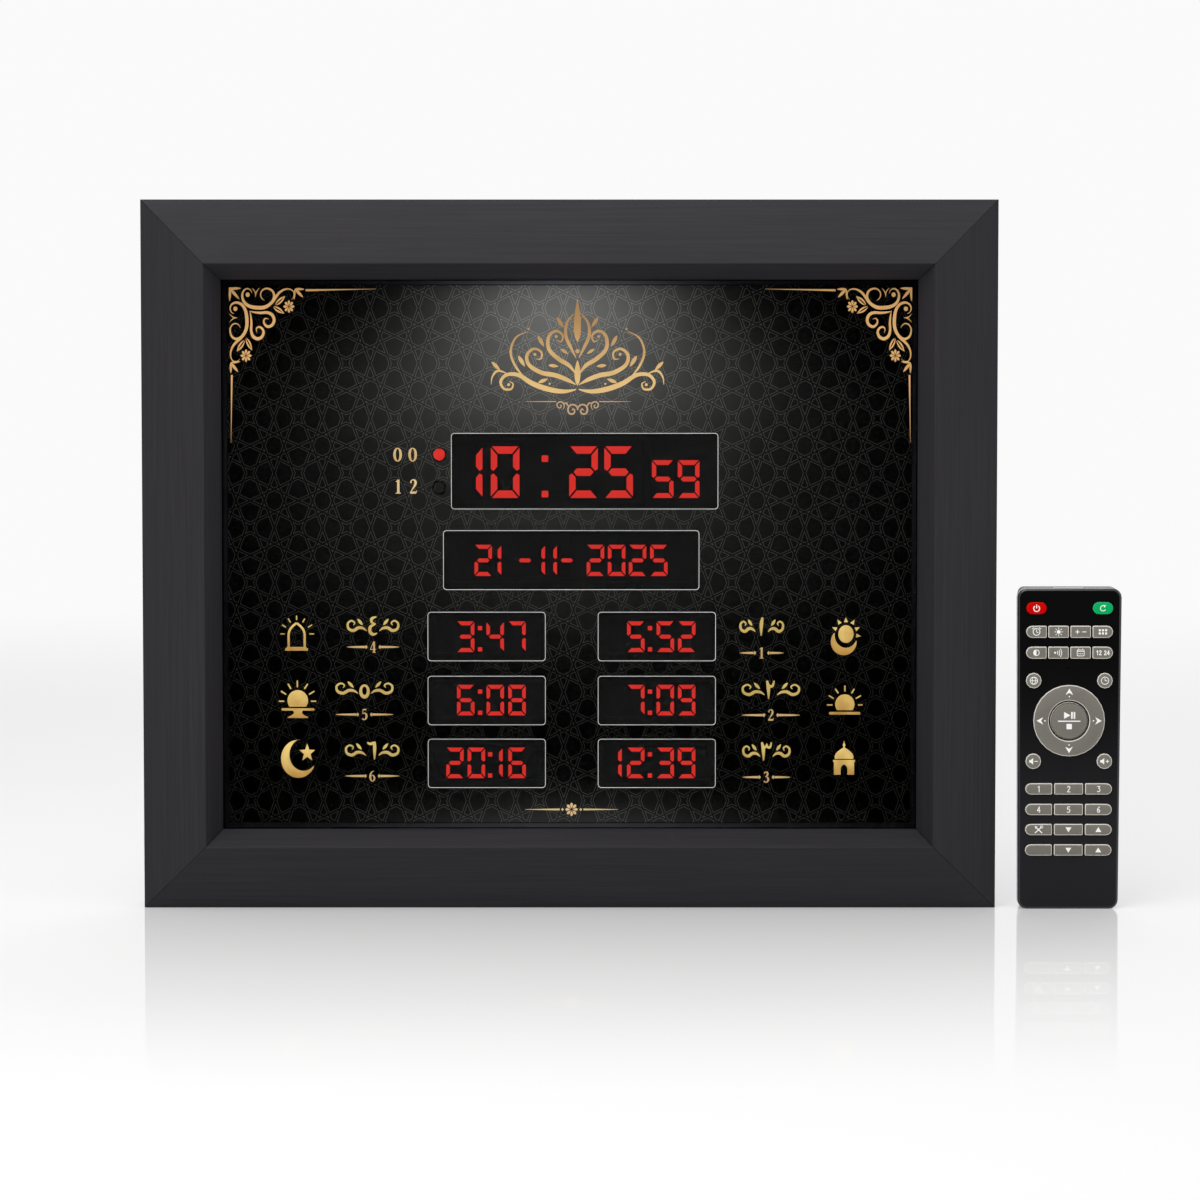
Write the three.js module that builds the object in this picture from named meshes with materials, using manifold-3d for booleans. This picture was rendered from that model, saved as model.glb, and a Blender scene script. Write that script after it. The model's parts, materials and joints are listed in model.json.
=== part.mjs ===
// A framed wall and desk clock that shows the time, the date and six prayer times on red digit
// displays, together with its remote control, which stands beside it on the same surface.
// Millimetres, +Z up. The front looks along -Y. The origin lies on the underside of the bottom
// rail, half way along it, so X runs to the right and Y runs to the back.

import * as THREE from 'three';
import { mergeVertices } from 'three/addons/utils/BufferGeometryUtils.js';
import Module from 'manifold-3d';

const wasm = await Module();
wasm.setup();

// Driving dimensions of the clock

const clockWidth = 430;
const clockHeight = 357;
const seatGap = 0.3;
const overrun = 2;
const weldReach = 1e-4;
const quarterTurn = Math.PI / 2;

// The moulding, across one rail: from the outer edge inwards and from the front to the back
const moulding = {
  faceWidth: 32,
  bevelWidth: 8,
  faceFall: 12,
  bevelFall: 10,
  frontEdge: -5,
  lipThickness: 3,
  rebateWidth: 7,
  back: 18,
  mitreGap: 0.1,
};
const ridgeY = moulding.frontEdge - moulding.faceFall;
const lipY = ridgeY + moulding.bevelFall;
const rebateY = lipY + moulding.lipThickness;
const lipInset = moulding.faceWidth + moulding.bevelWidth;
const rebateInset = lipInset - moulding.rebateWidth;

// Clear opening inside the lip, and the wider rebate behind it
const openingWidth = clockWidth - 2 * lipInset;
const openingHeight = clockHeight - 2 * lipInset;
const rebateWidth = clockWidth - 2 * rebateInset;
const rebateHeight = clockHeight - 2 * rebateInset;
const middleZ = clockHeight / 2;

// Panel stack, front to back, each piece behind the one before it
const panel = { edgeClearance: 0.5, glassThickness: 2, sheetThickness: 0.8 };
const glassFront = rebateY + seatGap;
const glassBack = glassFront + panel.glassThickness;
const sheetFront = glassBack + seatGap;
const sheetBack = sheetFront + panel.sheetThickness;
const displayFront = sheetBack + seatGap;
const panelWidth = rebateWidth - 2 * panel.edgeClearance;
const panelHeight = rebateHeight - 2 * panel.edgeClearance;

// Windows of the dial: places as shares of the opening, from its middle and from its lower edge
const mainWindow = { xShare: 0.0217, zShare: 0.6523, width: 134, height: 37.9, radius: 1.5 };
const dateWindow = { xShare: 0.0023, zShare: 0.4903, width: 128.6, height: 29.6, radius: 1.5 };
const timeWindow = { width: 59, height: 24.4, radius: 1.5 };
const leftColumnShare = -0.1197;
const rightColumnShare = 0.1257;
const rowShares = [0.3509, 0.2339, 0.1188];

const display = { depth: 8, edgeChamfer: 0.5, rim: 3.2, mainRim: 5.5, secondsWidth: 28, split: 3 };
const lamp = {
  radius: 2.9,
  clearance: 0.3,
  flangeRadius: 3.6,
  flangeDepth: 1.2,
  windowGap: 6.3,
  pitch: 16.7,
};

const board = {
  thickness: 1.6,
  margin: 10,
  bossInset: 7,
  cellHolderRadius: 10.5,
  cellHolderDepth: 4,
};
const boardFront = displayFront + display.depth + seatGap;
const boardBack = boardFront + board.thickness;

const cover = {
  plate: 2,
  wall: 2,
  flangeOverlap: 9,
  cornerRadius: 4,
  bossRadius: 4,
  ventCount: 7,
  ventLength: 34,
  ventHeight: 3,
  ventPitch: 8,
  ventInset: 62,
  grilleCount: 6,
  grilleHeight: 3,
  grillePitch: 6.5,
  screwHoleRadius: 1.8,
  screwInset: 4.5,
};
const coverFront = moulding.back + seatGap;
const coverBack = coverFront + cover.plate;

const speaker = {
  radius: 25,
  rimDepth: 1.6,
  coneDepth: 5,
  magnetRadius: 12,
  magnetDepth: 5,
  zShare: 0.25,
  collarWall: 2,
  collarDepth: 3,
};

const jack = {
  bodyRadius: 4.2,
  bodyDepth: 8.5,
  flangeRadius: 6,
  flangeDepth: 1,
  boreRadius: 3.2,
  boreDepth: 7.5,
  pinRadius: 1,
  pinShort: 1,
  zShare: 0.12,
  holeClearance: 0.3,
};

// The keyhole plates lie between the cover's flange and the frame's outer edge
const hanger = {
  spacing: 250,
  edgeMargin: 2,
  width: 20,
  thickness: 1.5,
  cornerRadius: 2,
  entryRadius: 4.5,
  slotWidth: 4.8,
  slotRise: 7.5,
  pocketDepth: 8,
  pocketWidth: 13,
  pocketMargin: 1,
};
const hangerBand = rebateInset - cover.flangeOverlap;
const keyholeHeight = hanger.entryRadius + hanger.slotRise + hanger.slotWidth / 2;
const pocketHeight = keyholeHeight + 2 * hanger.pocketMargin;

// Driving dimensions of the remote control

const remote = {
  gapToClock: 10.2,
  height: 162,
  topWidth: 52.4,
  footTaper: 0.9,
  cornerRadius: 4.5,
  front: -10,
  split: 5,
  wall: 1.6,
  plate: 1.8,
  rimWidth: 0.9,
  rimDepth: 1,
  draft: 1.5,
  straightLip: 1,
  backEdge: 2.5,
};
const remoteX = clockWidth / 2 + remote.gapToClock + remote.topWidth / 2;
const remoteSplitY = remote.front + remote.split;
const plateInnerY = remote.front + remote.plate;

const key = {
  proud: 1,
  travel: 0.8,
  flangeDepth: 0.8,
  flangeReach: 1.2,
  clearance: 0.25,
  edgeMargin: 4.4,
  gap: 0.9,
  cornerRadius: 0.6,
  functionHeight: 6,
  optionHeight: 5.6,
  optionGap: 1.1,
  optionMiddleExtra: 1,
  pillWidth: 10.2,
  roundRadius: 3.9,
};
const keyFront = remote.front - key.proud;
const flangeFront = plateInnerY + seatGap;
const flangeBack = flangeFront + key.flangeDepth;

// Heights of the key rows, as shares of the remote's height
const pillRowShare = 0.9395;
const functionRowShares = [0.866, 0.801];
const pinHoleShare = 0.7525;
const roundRowShares = [0.714, 0.4625];
const navShare = 0.589;
const optionRowShares = [0.376, 0.3117, 0.2488, 0.185];
const pinHoleRadius = 0.7;

const nav = {
  outerRadius: 18,
  innerRadius: 10.3,
  setRadius: 9.4,
  clearance: 0.3,
  depth: 3.3,
  proud: 1.2,
  padOuterRadius: 15,
  padInnerRadius: 11,
  padGap: 0.9,
  padDepth: 0.8,
  matHoleGap: 1,
};
const navFront = remote.front - nav.proud;
const navBack = navFront + nav.depth;
const padFront = navBack + nav.padGap;

const remoteInside = { matThickness: 0.8, boardThickness: 1, sideGap: 0.5 };
const matFront = flangeBack + key.travel + seatGap;
const matBack = matFront + remoteInside.matThickness;
const remoteBoardFront = matBack + seatGap;
const remoteBoardBack = remoteBoardFront + remoteInside.boardThickness;

const cell = {
  radius: 5.15,
  length: 44.5,
  nubRadius: 1.9,
  nubLength: 1,
  sideGap: 0.6,
  endRoom: 1.5,
  doorGap: 0.5,
};
const bay = { bottom: 16, wall: 3, floor: 1.2, ledge: 2 };
const bayFloorFront = remoteBoardBack + seatGap;
const bayFloorBack = bayFloorFront + bay.floor;
const cellFront = bayFloorBack + seatGap;
const doorFront = cellFront + 2 * cell.radius + cell.doorGap;
const remoteBack = doorFront + remote.plate;
const bayWidth = 4 * cell.radius + 3 * cell.sideGap;
const bayLength = cell.length + 2 * cell.endRoom;

// The infrared window sits in the top wall, behind the edge of the circuit board
const infrared = { width: 15.4, clearance: 0.3, depth: 5, inward: 1.9 };
const infraredFront = remoteBoardBack + seatGap;
const infraredBack = infraredFront + infrared.depth;

// Colours and finishes

function finish(color, roughness, metalness) {
  return new THREE.MeshStandardMaterial({ color, roughness, metalness });
}

const finishes = {
  frameWood: () => finish(0x37363a, 0.55, 0),
  glass: () => finish(0x20242a, 0.05, 0),
  dialPrint: () => finish(0x08080a, 0.4, 0),
  displayFace: () => finish(0x1a1414, 0.35, 0),
  redLamp: () => finish(0xd8271e, 0.25, 0),
  darkLamp: () => finish(0x1c1012, 0.25, 0),
  boardGreen: () => finish(0x1d5a34, 0.5, 0.1),
  coverPlastic: () => finish(0x1b1b1d, 0.7, 0),
  speakerSteel: () => finish(0x55585c, 0.4, 0.8),
  jackPlastic: () => finish(0x0f0f10, 0.45, 0),
  hangerSteel: () => finish(0xb9bcc0, 0.35, 0.9),
  remoteGloss: () => finish(0x050506, 0.12, 0),
  remoteMatt: () => finish(0x18181a, 0.6, 0),
  keyGrey: () => finish(0x7d7770, 0.5, 0),
  keyRed: () => finish(0xe01810, 0.45, 0),
  keyGreen: () => finish(0x10b860, 0.45, 0),
  rubberGrey: () => finish(0x3a3a3c, 0.8, 0),
  infraredPlastic: () => finish(0x160609, 0.15, 0),
  cellWrap: () => finish(0x2f6f8f, 0.35, 0.2),
};

// Outlines, drawn in the plane of the dial: x to the right, y up

function roundedBox(x, z, width, height, radius) {
  return keyOutline(x, z, width, height, radius, radius);
}

function keyOutline(x, z, width, height, leftRadius, rightRadius) {
  const left = x - width / 2;
  const right = x + width / 2;
  const low = z - height / 2;
  const high = z + height / 2;
  const shape = new THREE.Shape();
  shape.absarc(right - rightRadius, high - rightRadius, rightRadius, 0, quarterTurn);
  shape.absarc(left + leftRadius, high - leftRadius, leftRadius, quarterTurn, 2 * quarterTurn);
  shape.absarc(left + leftRadius, low + leftRadius, leftRadius, 2 * quarterTurn, 3 * quarterTurn);
  shape.absarc(right - rightRadius, low + rightRadius, rightRadius, 3 * quarterTurn, 4 * quarterTurn);
  shape.closePath();
  return shape;
}

function rectangle(x, z, width, height) {
  const shape = new THREE.Shape();
  shape.moveTo(x - width / 2, z - height / 2);
  shape.lineTo(x + width / 2, z - height / 2);
  shape.lineTo(x + width / 2, z + height / 2);
  shape.lineTo(x - width / 2, z + height / 2);
  shape.closePath();
  return shape;
}

function disc(x, z, radius) {
  const shape = new THREE.Shape();
  shape.absarc(x, z, radius, 0, 4 * quarterTurn);
  return shape;
}

// The remote narrows a little towards its foot; its ends can be set in less than its sides
function remoteOutline(inset, endInset = inset) {
  const radius = Math.max(remote.cornerRadius - inset, key.cornerRadius);
  const top = remote.height - endInset - radius;
  const low = endInset + radius;
  const topReach = remote.topWidth / 2 - inset - radius;
  const lowReach = topReach - remote.footTaper;
  const shape = new THREE.Shape();
  shape.absarc(topReach, top, radius, 0, quarterTurn);
  shape.absarc(-topReach, top, radius, quarterTurn, 2 * quarterTurn);
  shape.absarc(-lowReach, low, radius, 2 * quarterTurn, 3 * quarterTurn);
  shape.absarc(lowReach, low, radius, 3 * quarterTurn, 4 * quarterTurn);
  shape.closePath();
  return shape;
}

// Solids

const cornerSteps = 2;
const roundSteps = 12;

// Extrudes an outline from one depth to another, front to back
function slab(shape, front, back, steps = cornerSteps) {
  const options = { depth: back - front, bevelEnabled: false, curveSegments: steps };
  const geometry = new THREE.ExtrudeGeometry(shape, options);
  geometry.rotateX(quarterTurn);
  geometry.translate(0, back, 0);
  return geometry;
}

// The same with its front and back edges taken off
function chamferedSlab(shape, front, back, width, depth, steps = cornerSteps) {
  const options = {
    depth: back - front - 2 * depth,
    bevelEnabled: true,
    bevelSegments: 1,
    bevelSize: width,
    bevelThickness: depth,
    bevelOffset: -width,
    curveSegments: steps,
  };
  const geometry = new THREE.ExtrudeGeometry(shape, options);
  geometry.rotateX(quarterTurn);
  geometry.translate(0, back - depth, 0);
  return geometry;
}

// Turns a profile of [radius, y] points round the Y axis
function turned(points, steps = roundSteps) {
  const outline = points.map(([radius, y]) => new THREE.Vector2(radius, y));
  return new THREE.LatheGeometry(outline, 2 * steps);
}

function solidOf(geometry) {
  const bare = geometry.clone();
  bare.deleteAttribute('normal');
  bare.deleteAttribute('uv');
  const merged = mergeVertices(bare, weldReach);
  const vertProperties = new Float32Array(merged.attributes.position.array);
  const triVerts = new Uint32Array(merged.index.array);
  return new wasm.Manifold(new wasm.Mesh({ numProp: 3, vertProperties, triVerts }));
}

function geometryOf(solid) {
  const mesh = solid.getMesh();
  const geometry = new THREE.BufferGeometry();
  geometry.setAttribute('position', new THREE.BufferAttribute(mesh.vertProperties, 3));
  geometry.setIndex(new THREE.BufferAttribute(mesh.triVerts, 1));
  geometry.computeVertexNormals();
  return geometry;
}

function joined(...geometries) {
  const solids = geometries.map(solidOf);
  return geometryOf(solids.reduce((whole, piece) => whole.add(piece)));
}

function wrapped(...geometries) {
  return geometryOf(wasm.Manifold.hull(geometries.map(solidOf)));
}

function cut(geometry, ...tools) {
  const solids = tools.map(solidOf);
  return geometryOf(solids.reduce((rest, tool) => rest.subtract(tool), solidOf(geometry)));
}

function part(name, geometry, material) {
  const mesh = new THREE.Mesh(geometry, material);
  mesh.name = name;
  return mesh;
}

// Frame

function mouldingSection() {
  const shape = new THREE.Shape();
  shape.moveTo(0, moulding.frontEdge);
  shape.lineTo(moulding.faceWidth, ridgeY);
  shape.lineTo(lipInset, lipY);
  shape.lineTo(lipInset, rebateY);
  shape.lineTo(rebateInset, rebateY);
  shape.lineTo(rebateInset, moulding.back);
  shape.lineTo(0, moulding.back);
  shape.closePath();
  return shape;
}

// A rail lies along X with its outer edge on the X axis and both ends cut at 45 degrees
function railGeometry(length) {
  const geometry = new THREE.ExtrudeGeometry(mouldingSection(), { depth: length, bevelEnabled: false });
  const place = geometry.attributes.position;
  for (let i = 0; i < place.count; i += 1) {
    const inward = place.getX(i);
    const depth = place.getY(i);
    const nearEnd = place.getZ(i) < length / 2;
    const fromMiddle = length / 2 - inward - moulding.mitreGap;
    place.setXYZ(i, nearEnd ? fromMiddle : -fromMiddle, depth, inward);
  }
  return geometry;
}

// Pockets behind the keyhole plates, sunk from the rail's back
function hangerPockets() {
  return [-1, 1].map((side) => {
    const shape = rectangle((side * hanger.spacing) / 2, hangerBand / 2, hanger.pocketWidth, pocketHeight);
    return slab(shape, moulding.back - hanger.pocketDepth, moulding.back + overrun);
  });
}

function placedRail(name, geometry, x, z, turn) {
  const rail = part(name, geometry, finishes.frameWood());
  rail.position.set(x, 0, z);
  rail.rotation.y = turn;
  return rail;
}

function buildFrame() {
  const group = new THREE.Group();
  const topRail = cut(railGeometry(clockWidth), ...hangerPockets());
  const half = clockWidth / 2;
  group.add(placedRail('frame_bottom_rail', railGeometry(clockWidth), 0, 0, 0));
  group.add(placedRail('frame_top_rail', topRail, 0, clockHeight, 2 * quarterTurn));
  group.add(placedRail('frame_left_rail', railGeometry(clockHeight), -half, middleZ, quarterTurn));
  group.add(placedRail('frame_right_rail', railGeometry(clockHeight), half, middleZ, -quarterTurn));
  return group;
}

// Windows, displays and lamps

function openingX(share) {
  return share * openingWidth;
}

function openingZ(share) {
  return lipInset + share * openingHeight;
}

const timeColumns = [['left', leftColumnShare], ['right', rightColumnShare]];

const windows = [mainWindow, dateWindow].map((window) => ({
  ...window,
  x: openingX(window.xShare),
  z: openingZ(window.zShare),
}));
for (const [side, columnShare] of timeColumns) {
  rowShares.forEach((rowShare, row) => {
    const place = { x: openingX(columnShare), z: openingZ(rowShare) };
    windows.push({ ...timeWindow, ...place, name: `${side}_display_${row + 1}` });
  });
}
const [mainPlace, datePlace, ...timePlaces] = windows;
const lampX = mainPlace.x - mainPlace.width / 2 - lamp.windowGap;
const lampPlaces = [
  { name: 'am_lamp', z: mainPlace.z + lamp.pitch / 2, material: finishes.redLamp },
  { name: 'pm_lamp', z: mainPlace.z - lamp.pitch / 2, material: finishes.darkLamp },
];

function buildPanel() {
  const group = new THREE.Group();
  const pane = rectangle(0, middleZ, panelWidth, panelHeight);
  group.add(part('front_glass', slab(pane, glassFront, glassBack), finishes.glass()));
  const sheet = rectangle(0, middleZ, panelWidth, panelHeight);
  for (const window of windows) {
    sheet.holes.push(roundedBox(window.x, window.z, window.width, window.height, window.radius));
  }
  const lampHoles = lampPlaces.map((place) => {
    const shape = disc(lampX, place.z, lamp.radius + lamp.clearance);
    return slab(shape, sheetFront - overrun, sheetBack + overrun, roundSteps);
  });
  const dial = cut(slab(sheet, sheetFront, sheetBack), ...lampHoles);
  group.add(part('dial_sheet', dial, finishes.dialPrint()));
  return group;
}

function displayBody(x, z, width, height) {
  const shape = rectangle(x, z, width, height);
  const back = displayFront + display.depth;
  return chamferedSlab(shape, displayFront, back, display.edgeChamfer, display.edgeChamfer);
}

function buildDisplays() {
  const group = new THREE.Group();
  const addBody = (name, x, z, width, height) => {
    group.add(part(name, displayBody(x, z, width, height), finishes.displayFace()));
  };
  const mainHeight = mainPlace.height - 2 * display.rim;
  const pairWidth = mainPlace.width - 2 * display.mainRim;
  const timeWidth = pairWidth - display.split - display.secondsWidth;
  const pairLeft = mainPlace.x - pairWidth / 2;
  const secondsX = pairLeft + pairWidth - display.secondsWidth / 2;
  addBody('time_display', pairLeft + timeWidth / 2, mainPlace.z, timeWidth, mainHeight);
  addBody('seconds_display', secondsX, mainPlace.z, display.secondsWidth, mainHeight);
  const dateWidth = datePlace.width - 2 * display.rim;
  addBody('date_display', datePlace.x, datePlace.z, dateWidth, datePlace.height - 2 * display.rim);
  for (const place of timePlaces) {
    addBody(place.name, place.x, place.z, place.width - 2 * display.rim, place.height - 2 * display.rim);
  }
  const displayBack = displayFront + display.depth;
  for (const place of lampPlaces) {
    const body = slab(disc(lampX, place.z, lamp.radius), sheetFront, displayBack, roundSteps);
    const foot = disc(lampX, place.z, lamp.flangeRadius);
    const flange = slab(foot, displayFront, displayFront + lamp.flangeDepth);
    group.add(part(place.name, joined(body, flange), place.material()));
  }
  return group;
}

// Board, speaker, inlet

function boardEdges() {
  const reach = (window) => window.width / 2 + board.margin;
  const rise = (window) => window.height / 2 + board.margin;
  return {
    left: Math.min(...windows.map((window) => window.x - reach(window))),
    right: Math.max(...windows.map((window) => window.x + reach(window))),
    low: Math.min(...windows.map((window) => window.z - rise(window))),
    high: Math.max(...windows.map((window) => window.z + rise(window))),
  };
}

const edges = boardEdges();
const trayInner = panelWidth / 2 - cover.wall;
const speakerX = (edges.right + trayInner) / 2;
const speakerZ = openingZ(speaker.zShare);
const jackX = (edges.left - trayInner) / 2;
const jackZ = openingZ(jack.zShare);

function bossPlaces() {
  const places = [];
  for (const x of [edges.left + board.bossInset, edges.right - board.bossInset]) {
    for (const z of [edges.low + board.bossInset, edges.high - board.bossInset]) {
      places.push([x, z]);
    }
  }
  return places;
}

function buildElectronics() {
  const group = new THREE.Group();
  const boardX = (edges.left + edges.right) / 2;
  const boardZ = (edges.low + edges.high) / 2;
  const plate = rectangle(boardX, boardZ, edges.right - edges.left, edges.high - edges.low);
  const holder = disc(boardX, datePlace.z, board.cellHolderRadius);
  const holderSolid = slab(holder, boardFront, boardBack + board.cellHolderDepth, cornerSteps * 3);
  const boardSolid = joined(slab(plate, boardFront, boardBack), holderSolid);
  group.add(part('main_board', boardSolid, finishes.boardGreen()));

  const rimBack = coverFront - seatGap;
  const rimFront = rimBack - speaker.rimDepth;
  const coneFront = rimFront - speaker.coneDepth;
  const driver = turned([
    [0, coneFront - speaker.magnetDepth],
    [speaker.magnetRadius, coneFront - speaker.magnetDepth],
    [speaker.magnetRadius, coneFront],
    [speaker.radius, rimFront],
    [speaker.radius, rimBack],
    [0, rimBack],
  ]);
  driver.translate(speakerX, 0, speakerZ);
  group.add(part('speaker', driver, finishes.speakerSteel()));

  const flangeBackY = coverFront - seatGap;
  const flangeFrontY = flangeBackY - jack.flangeDepth;
  const inlet = turned([
    [0, coverBack - jack.bodyDepth],
    [jack.bodyRadius, coverBack - jack.bodyDepth],
    [jack.bodyRadius, flangeFrontY],
    [jack.flangeRadius, flangeFrontY],
    [jack.flangeRadius, flangeBackY],
    [jack.bodyRadius, flangeBackY],
    [jack.bodyRadius, coverBack],
    [jack.boreRadius, coverBack],
    [jack.boreRadius, coverBack - jack.boreDepth],
    [jack.pinRadius, coverBack - jack.boreDepth],
    [jack.pinRadius, coverBack - jack.pinShort],
    [0, coverBack - jack.pinShort],
  ], roundSteps / 2);
  inlet.translate(jackX, 0, jackZ);
  group.add(part('power_jack', inlet, finishes.jackPlastic()));
  return group;
}

// Back cover: a tray whose wall presses the panel stack against the lip

function slotRow(x, z, length, height, count, pitch) {
  const slots = [];
  for (let i = 0; i < count; i += 1) {
    const level = z + (i - (count - 1) / 2) * pitch;
    const shape = roundedBox(x, level, length, height, height / 2);
    slots.push(slab(shape, coverFront - overrun, coverBack + overrun));
  }
  return slots;
}

function coverScrewPlaces() {
  const reach = rebateWidth / 2 + cover.screwInset;
  const low = rebateInset - cover.screwInset;
  const places = [];
  for (const x of [-reach, 0, reach]) {
    places.push([x, low], [x, clockHeight - low]);
  }
  places.push([-reach, middleZ], [reach, middleZ]);
  return places;
}

function buildBackCover() {
  const plateWidth = rebateWidth + 2 * cover.flangeOverlap;
  const plateHeight = rebateHeight + 2 * cover.flangeOverlap;
  const plateShape = roundedBox(0, middleZ, plateWidth, plateHeight, cover.cornerRadius);
  const plate = slab(plateShape, coverFront, coverBack);
  const rootY = coverFront + cover.plate / 2;
  const wallShape = rectangle(0, middleZ, panelWidth, panelHeight);
  wallShape.holes.push(rectangle(0, middleZ, panelWidth - 2 * cover.wall, panelHeight - 2 * cover.wall));
  const wall = slab(wallShape, displayFront, rootY);
  const bosses = bossPlaces().map(([x, z]) => {
    return slab(disc(x, z, cover.bossRadius), boardBack + seatGap, rootY);
  });
  const collarShape = disc(speakerX, speakerZ, speaker.radius + seatGap + speaker.collarWall);
  collarShape.holes.push(disc(speakerX, speakerZ, speaker.radius + seatGap));
  const collar = slab(collarShape, coverFront - speaker.collarDepth, rootY, roundSteps);

  const ventLevel = openingZ(1) - cover.ventInset;
  const vents = [-1, 1].flatMap((side) => {
    const x = (side * openingWidth) / 4;
    return slotRow(x, ventLevel, cover.ventLength, cover.ventHeight, cover.ventCount, cover.ventPitch);
  });
  const grilleLength = speaker.radius * Math.SQRT2;
  const grille = slotRow(
    speakerX, speakerZ, grilleLength, cover.grilleHeight, cover.grilleCount, cover.grillePitch,
  );
  const jackHole = disc(jackX, jackZ, jack.bodyRadius + jack.holeClearance);
  const screwHoles = coverScrewPlaces().map(([x, z]) => {
    return slab(disc(x, z, cover.screwHoleRadius), coverFront - overrun, coverBack + overrun);
  });
  const jackCut = slab(jackHole, coverFront - overrun, coverBack + overrun, roundSteps / 2);
  const body = joined(plate, wall, collar, ...bosses);
  return part('back_cover', cut(body, ...vents, ...grille, ...screwHoles, jackCut), finishes.coverPlastic());
}

// Keyhole plates on the top rail's back

function buildHangers() {
  const group = new THREE.Group();
  const back = moulding.back + seatGap + hanger.thickness;
  const z = clockHeight - hangerBand / 2;
  const plateHeight = hangerBand - 2 * hanger.edgeMargin;
  for (const [side, name] of [[-1, 'hanger_left'], [1, 'hanger_right']]) {
    const x = (side * hanger.spacing) / 2;
    const plate = slab(roundedBox(x, z, hanger.width, plateHeight, hanger.cornerRadius),
      moulding.back + seatGap, back);
    const entryZ = z - keyholeHeight / 2 + hanger.entryRadius;
    const entry = slab(disc(x, entryZ, hanger.entryRadius), 0, back + overrun, roundSteps / 2);
    const slotZ = entryZ + hanger.slotRise / 2;
    const slotHeight = hanger.slotRise + hanger.slotWidth;
    const slot = roundedBox(x, slotZ, hanger.slotWidth, slotHeight, hanger.slotWidth / 2);
    group.add(part(name, cut(plate, entry, slab(slot, 0, back + overrun)), finishes.hangerSteel()));
  }
  return group;
}

// Keys of the remote: one list serves the keys, their flanges and their openings

function remoteLevel(share) {
  return share * remote.height;
}

function keyList() {
  const reach = remote.topWidth / 2 - key.edgeMargin;
  const keys = [];
  const pillReach = reach - key.pillWidth / 2;
  const pill = { z: remoteLevel(pillRowShare), width: key.pillWidth, height: key.functionHeight };
  const pillEnds = { left: pill.height / 2, right: pill.height / 2 };
  keys.push({ ...pill, ...pillEnds, name: 'power_key', x: -pillReach, material: finishes.keyRed });
  keys.push({ ...pill, ...pillEnds, name: 'reset_key', x: pillReach, material: finishes.keyGreen });

  const columns = 4;
  const functionWidth = (2 * reach - (columns - 1) * key.gap) / columns;
  functionRowShares.forEach((share, row) => {
    for (let column = 0; column < columns; column += 1) {
      keys.push({
        name: `function_key_${row * columns + column + 1}`,
        x: -reach + functionWidth / 2 + column * (functionWidth + key.gap),
        z: remoteLevel(share),
        width: functionWidth,
        height: key.functionHeight,
        left: column === 0 ? key.functionHeight / 2 : key.cornerRadius,
        right: column === columns - 1 ? key.functionHeight / 2 : key.cornerRadius,
        material: finishes.keyGrey,
      });
    }
  });

  const sideWidth = (2 * reach - 2 * key.optionGap - key.optionMiddleExtra) / 3;
  const middleWidth = sideWidth + key.optionMiddleExtra;
  const sideX = (middleWidth + sideWidth) / 2 + key.optionGap;
  optionRowShares.forEach((share, row) => {
    [-1, 0, 1].forEach((side, column) => {
      keys.push({
        name: `option_key_${row * 3 + column + 1}`,
        x: side * sideX,
        z: remoteLevel(share),
        width: side === 0 ? middleWidth : sideWidth,
        height: key.optionHeight,
        left: side === -1 ? key.optionHeight / 2 : key.cornerRadius,
        right: side === 1 ? key.optionHeight / 2 : key.cornerRadius,
        material: finishes.keyGrey,
      });
    });
  });
  return keys;
}

function roundKeyList() {
  const reach = remote.topWidth / 2 - key.edgeMargin - key.roundRadius;
  const places = roundRowShares.flatMap((share) => [[-reach, share], [reach, share]]);
  return places.map(([x, share], index) => ({ name: `round_key_${index + 1}`, x, z: remoteLevel(share) }));
}

const keys = keyList();
const roundKeys = roundKeyList();
const navZ = remoteLevel(navShare);

// A flange behind the plate keeps each key in its opening
function keySolid(spec) {
  const capShape = keyOutline(spec.x, spec.z, spec.width, spec.height, spec.left, spec.right);
  const cap = slab(capShape, keyFront, flangeBack);
  const flangeHeight = spec.height + 2 * key.flangeReach;
  const flangeWidth = spec.width - 2 * key.cornerRadius;
  return joined(cap, slab(rectangle(spec.x, spec.z, flangeWidth, flangeHeight), flangeFront, flangeBack));
}

function keyOpening(spec) {
  const grow = 2 * key.clearance;
  const shape = keyOutline(spec.x, spec.z, spec.width + grow, spec.height + grow,
    spec.left + key.clearance, spec.right + key.clearance);
  return slab(shape, remote.front - overrun, plateInnerY + seatGap / 2);
}

function roundKeySolid(spec) {
  const cap = slab(disc(spec.x, spec.z, key.roundRadius), keyFront, flangeBack, roundSteps / 2);
  const flange = disc(spec.x, spec.z, key.roundRadius + key.flangeReach / 2);
  return joined(cap, slab(flange, flangeFront, flangeBack, roundSteps / 2));
}

function roundOpening(x, z, radius, steps) {
  return slab(disc(x, z, radius), remote.front - overrun, plateInnerY + seatGap / 2, steps);
}

function ringShape(outer, inner) {
  const shape = disc(0, navZ, outer);
  shape.holes.push(disc(0, navZ, inner));
  return shape;
}

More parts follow.
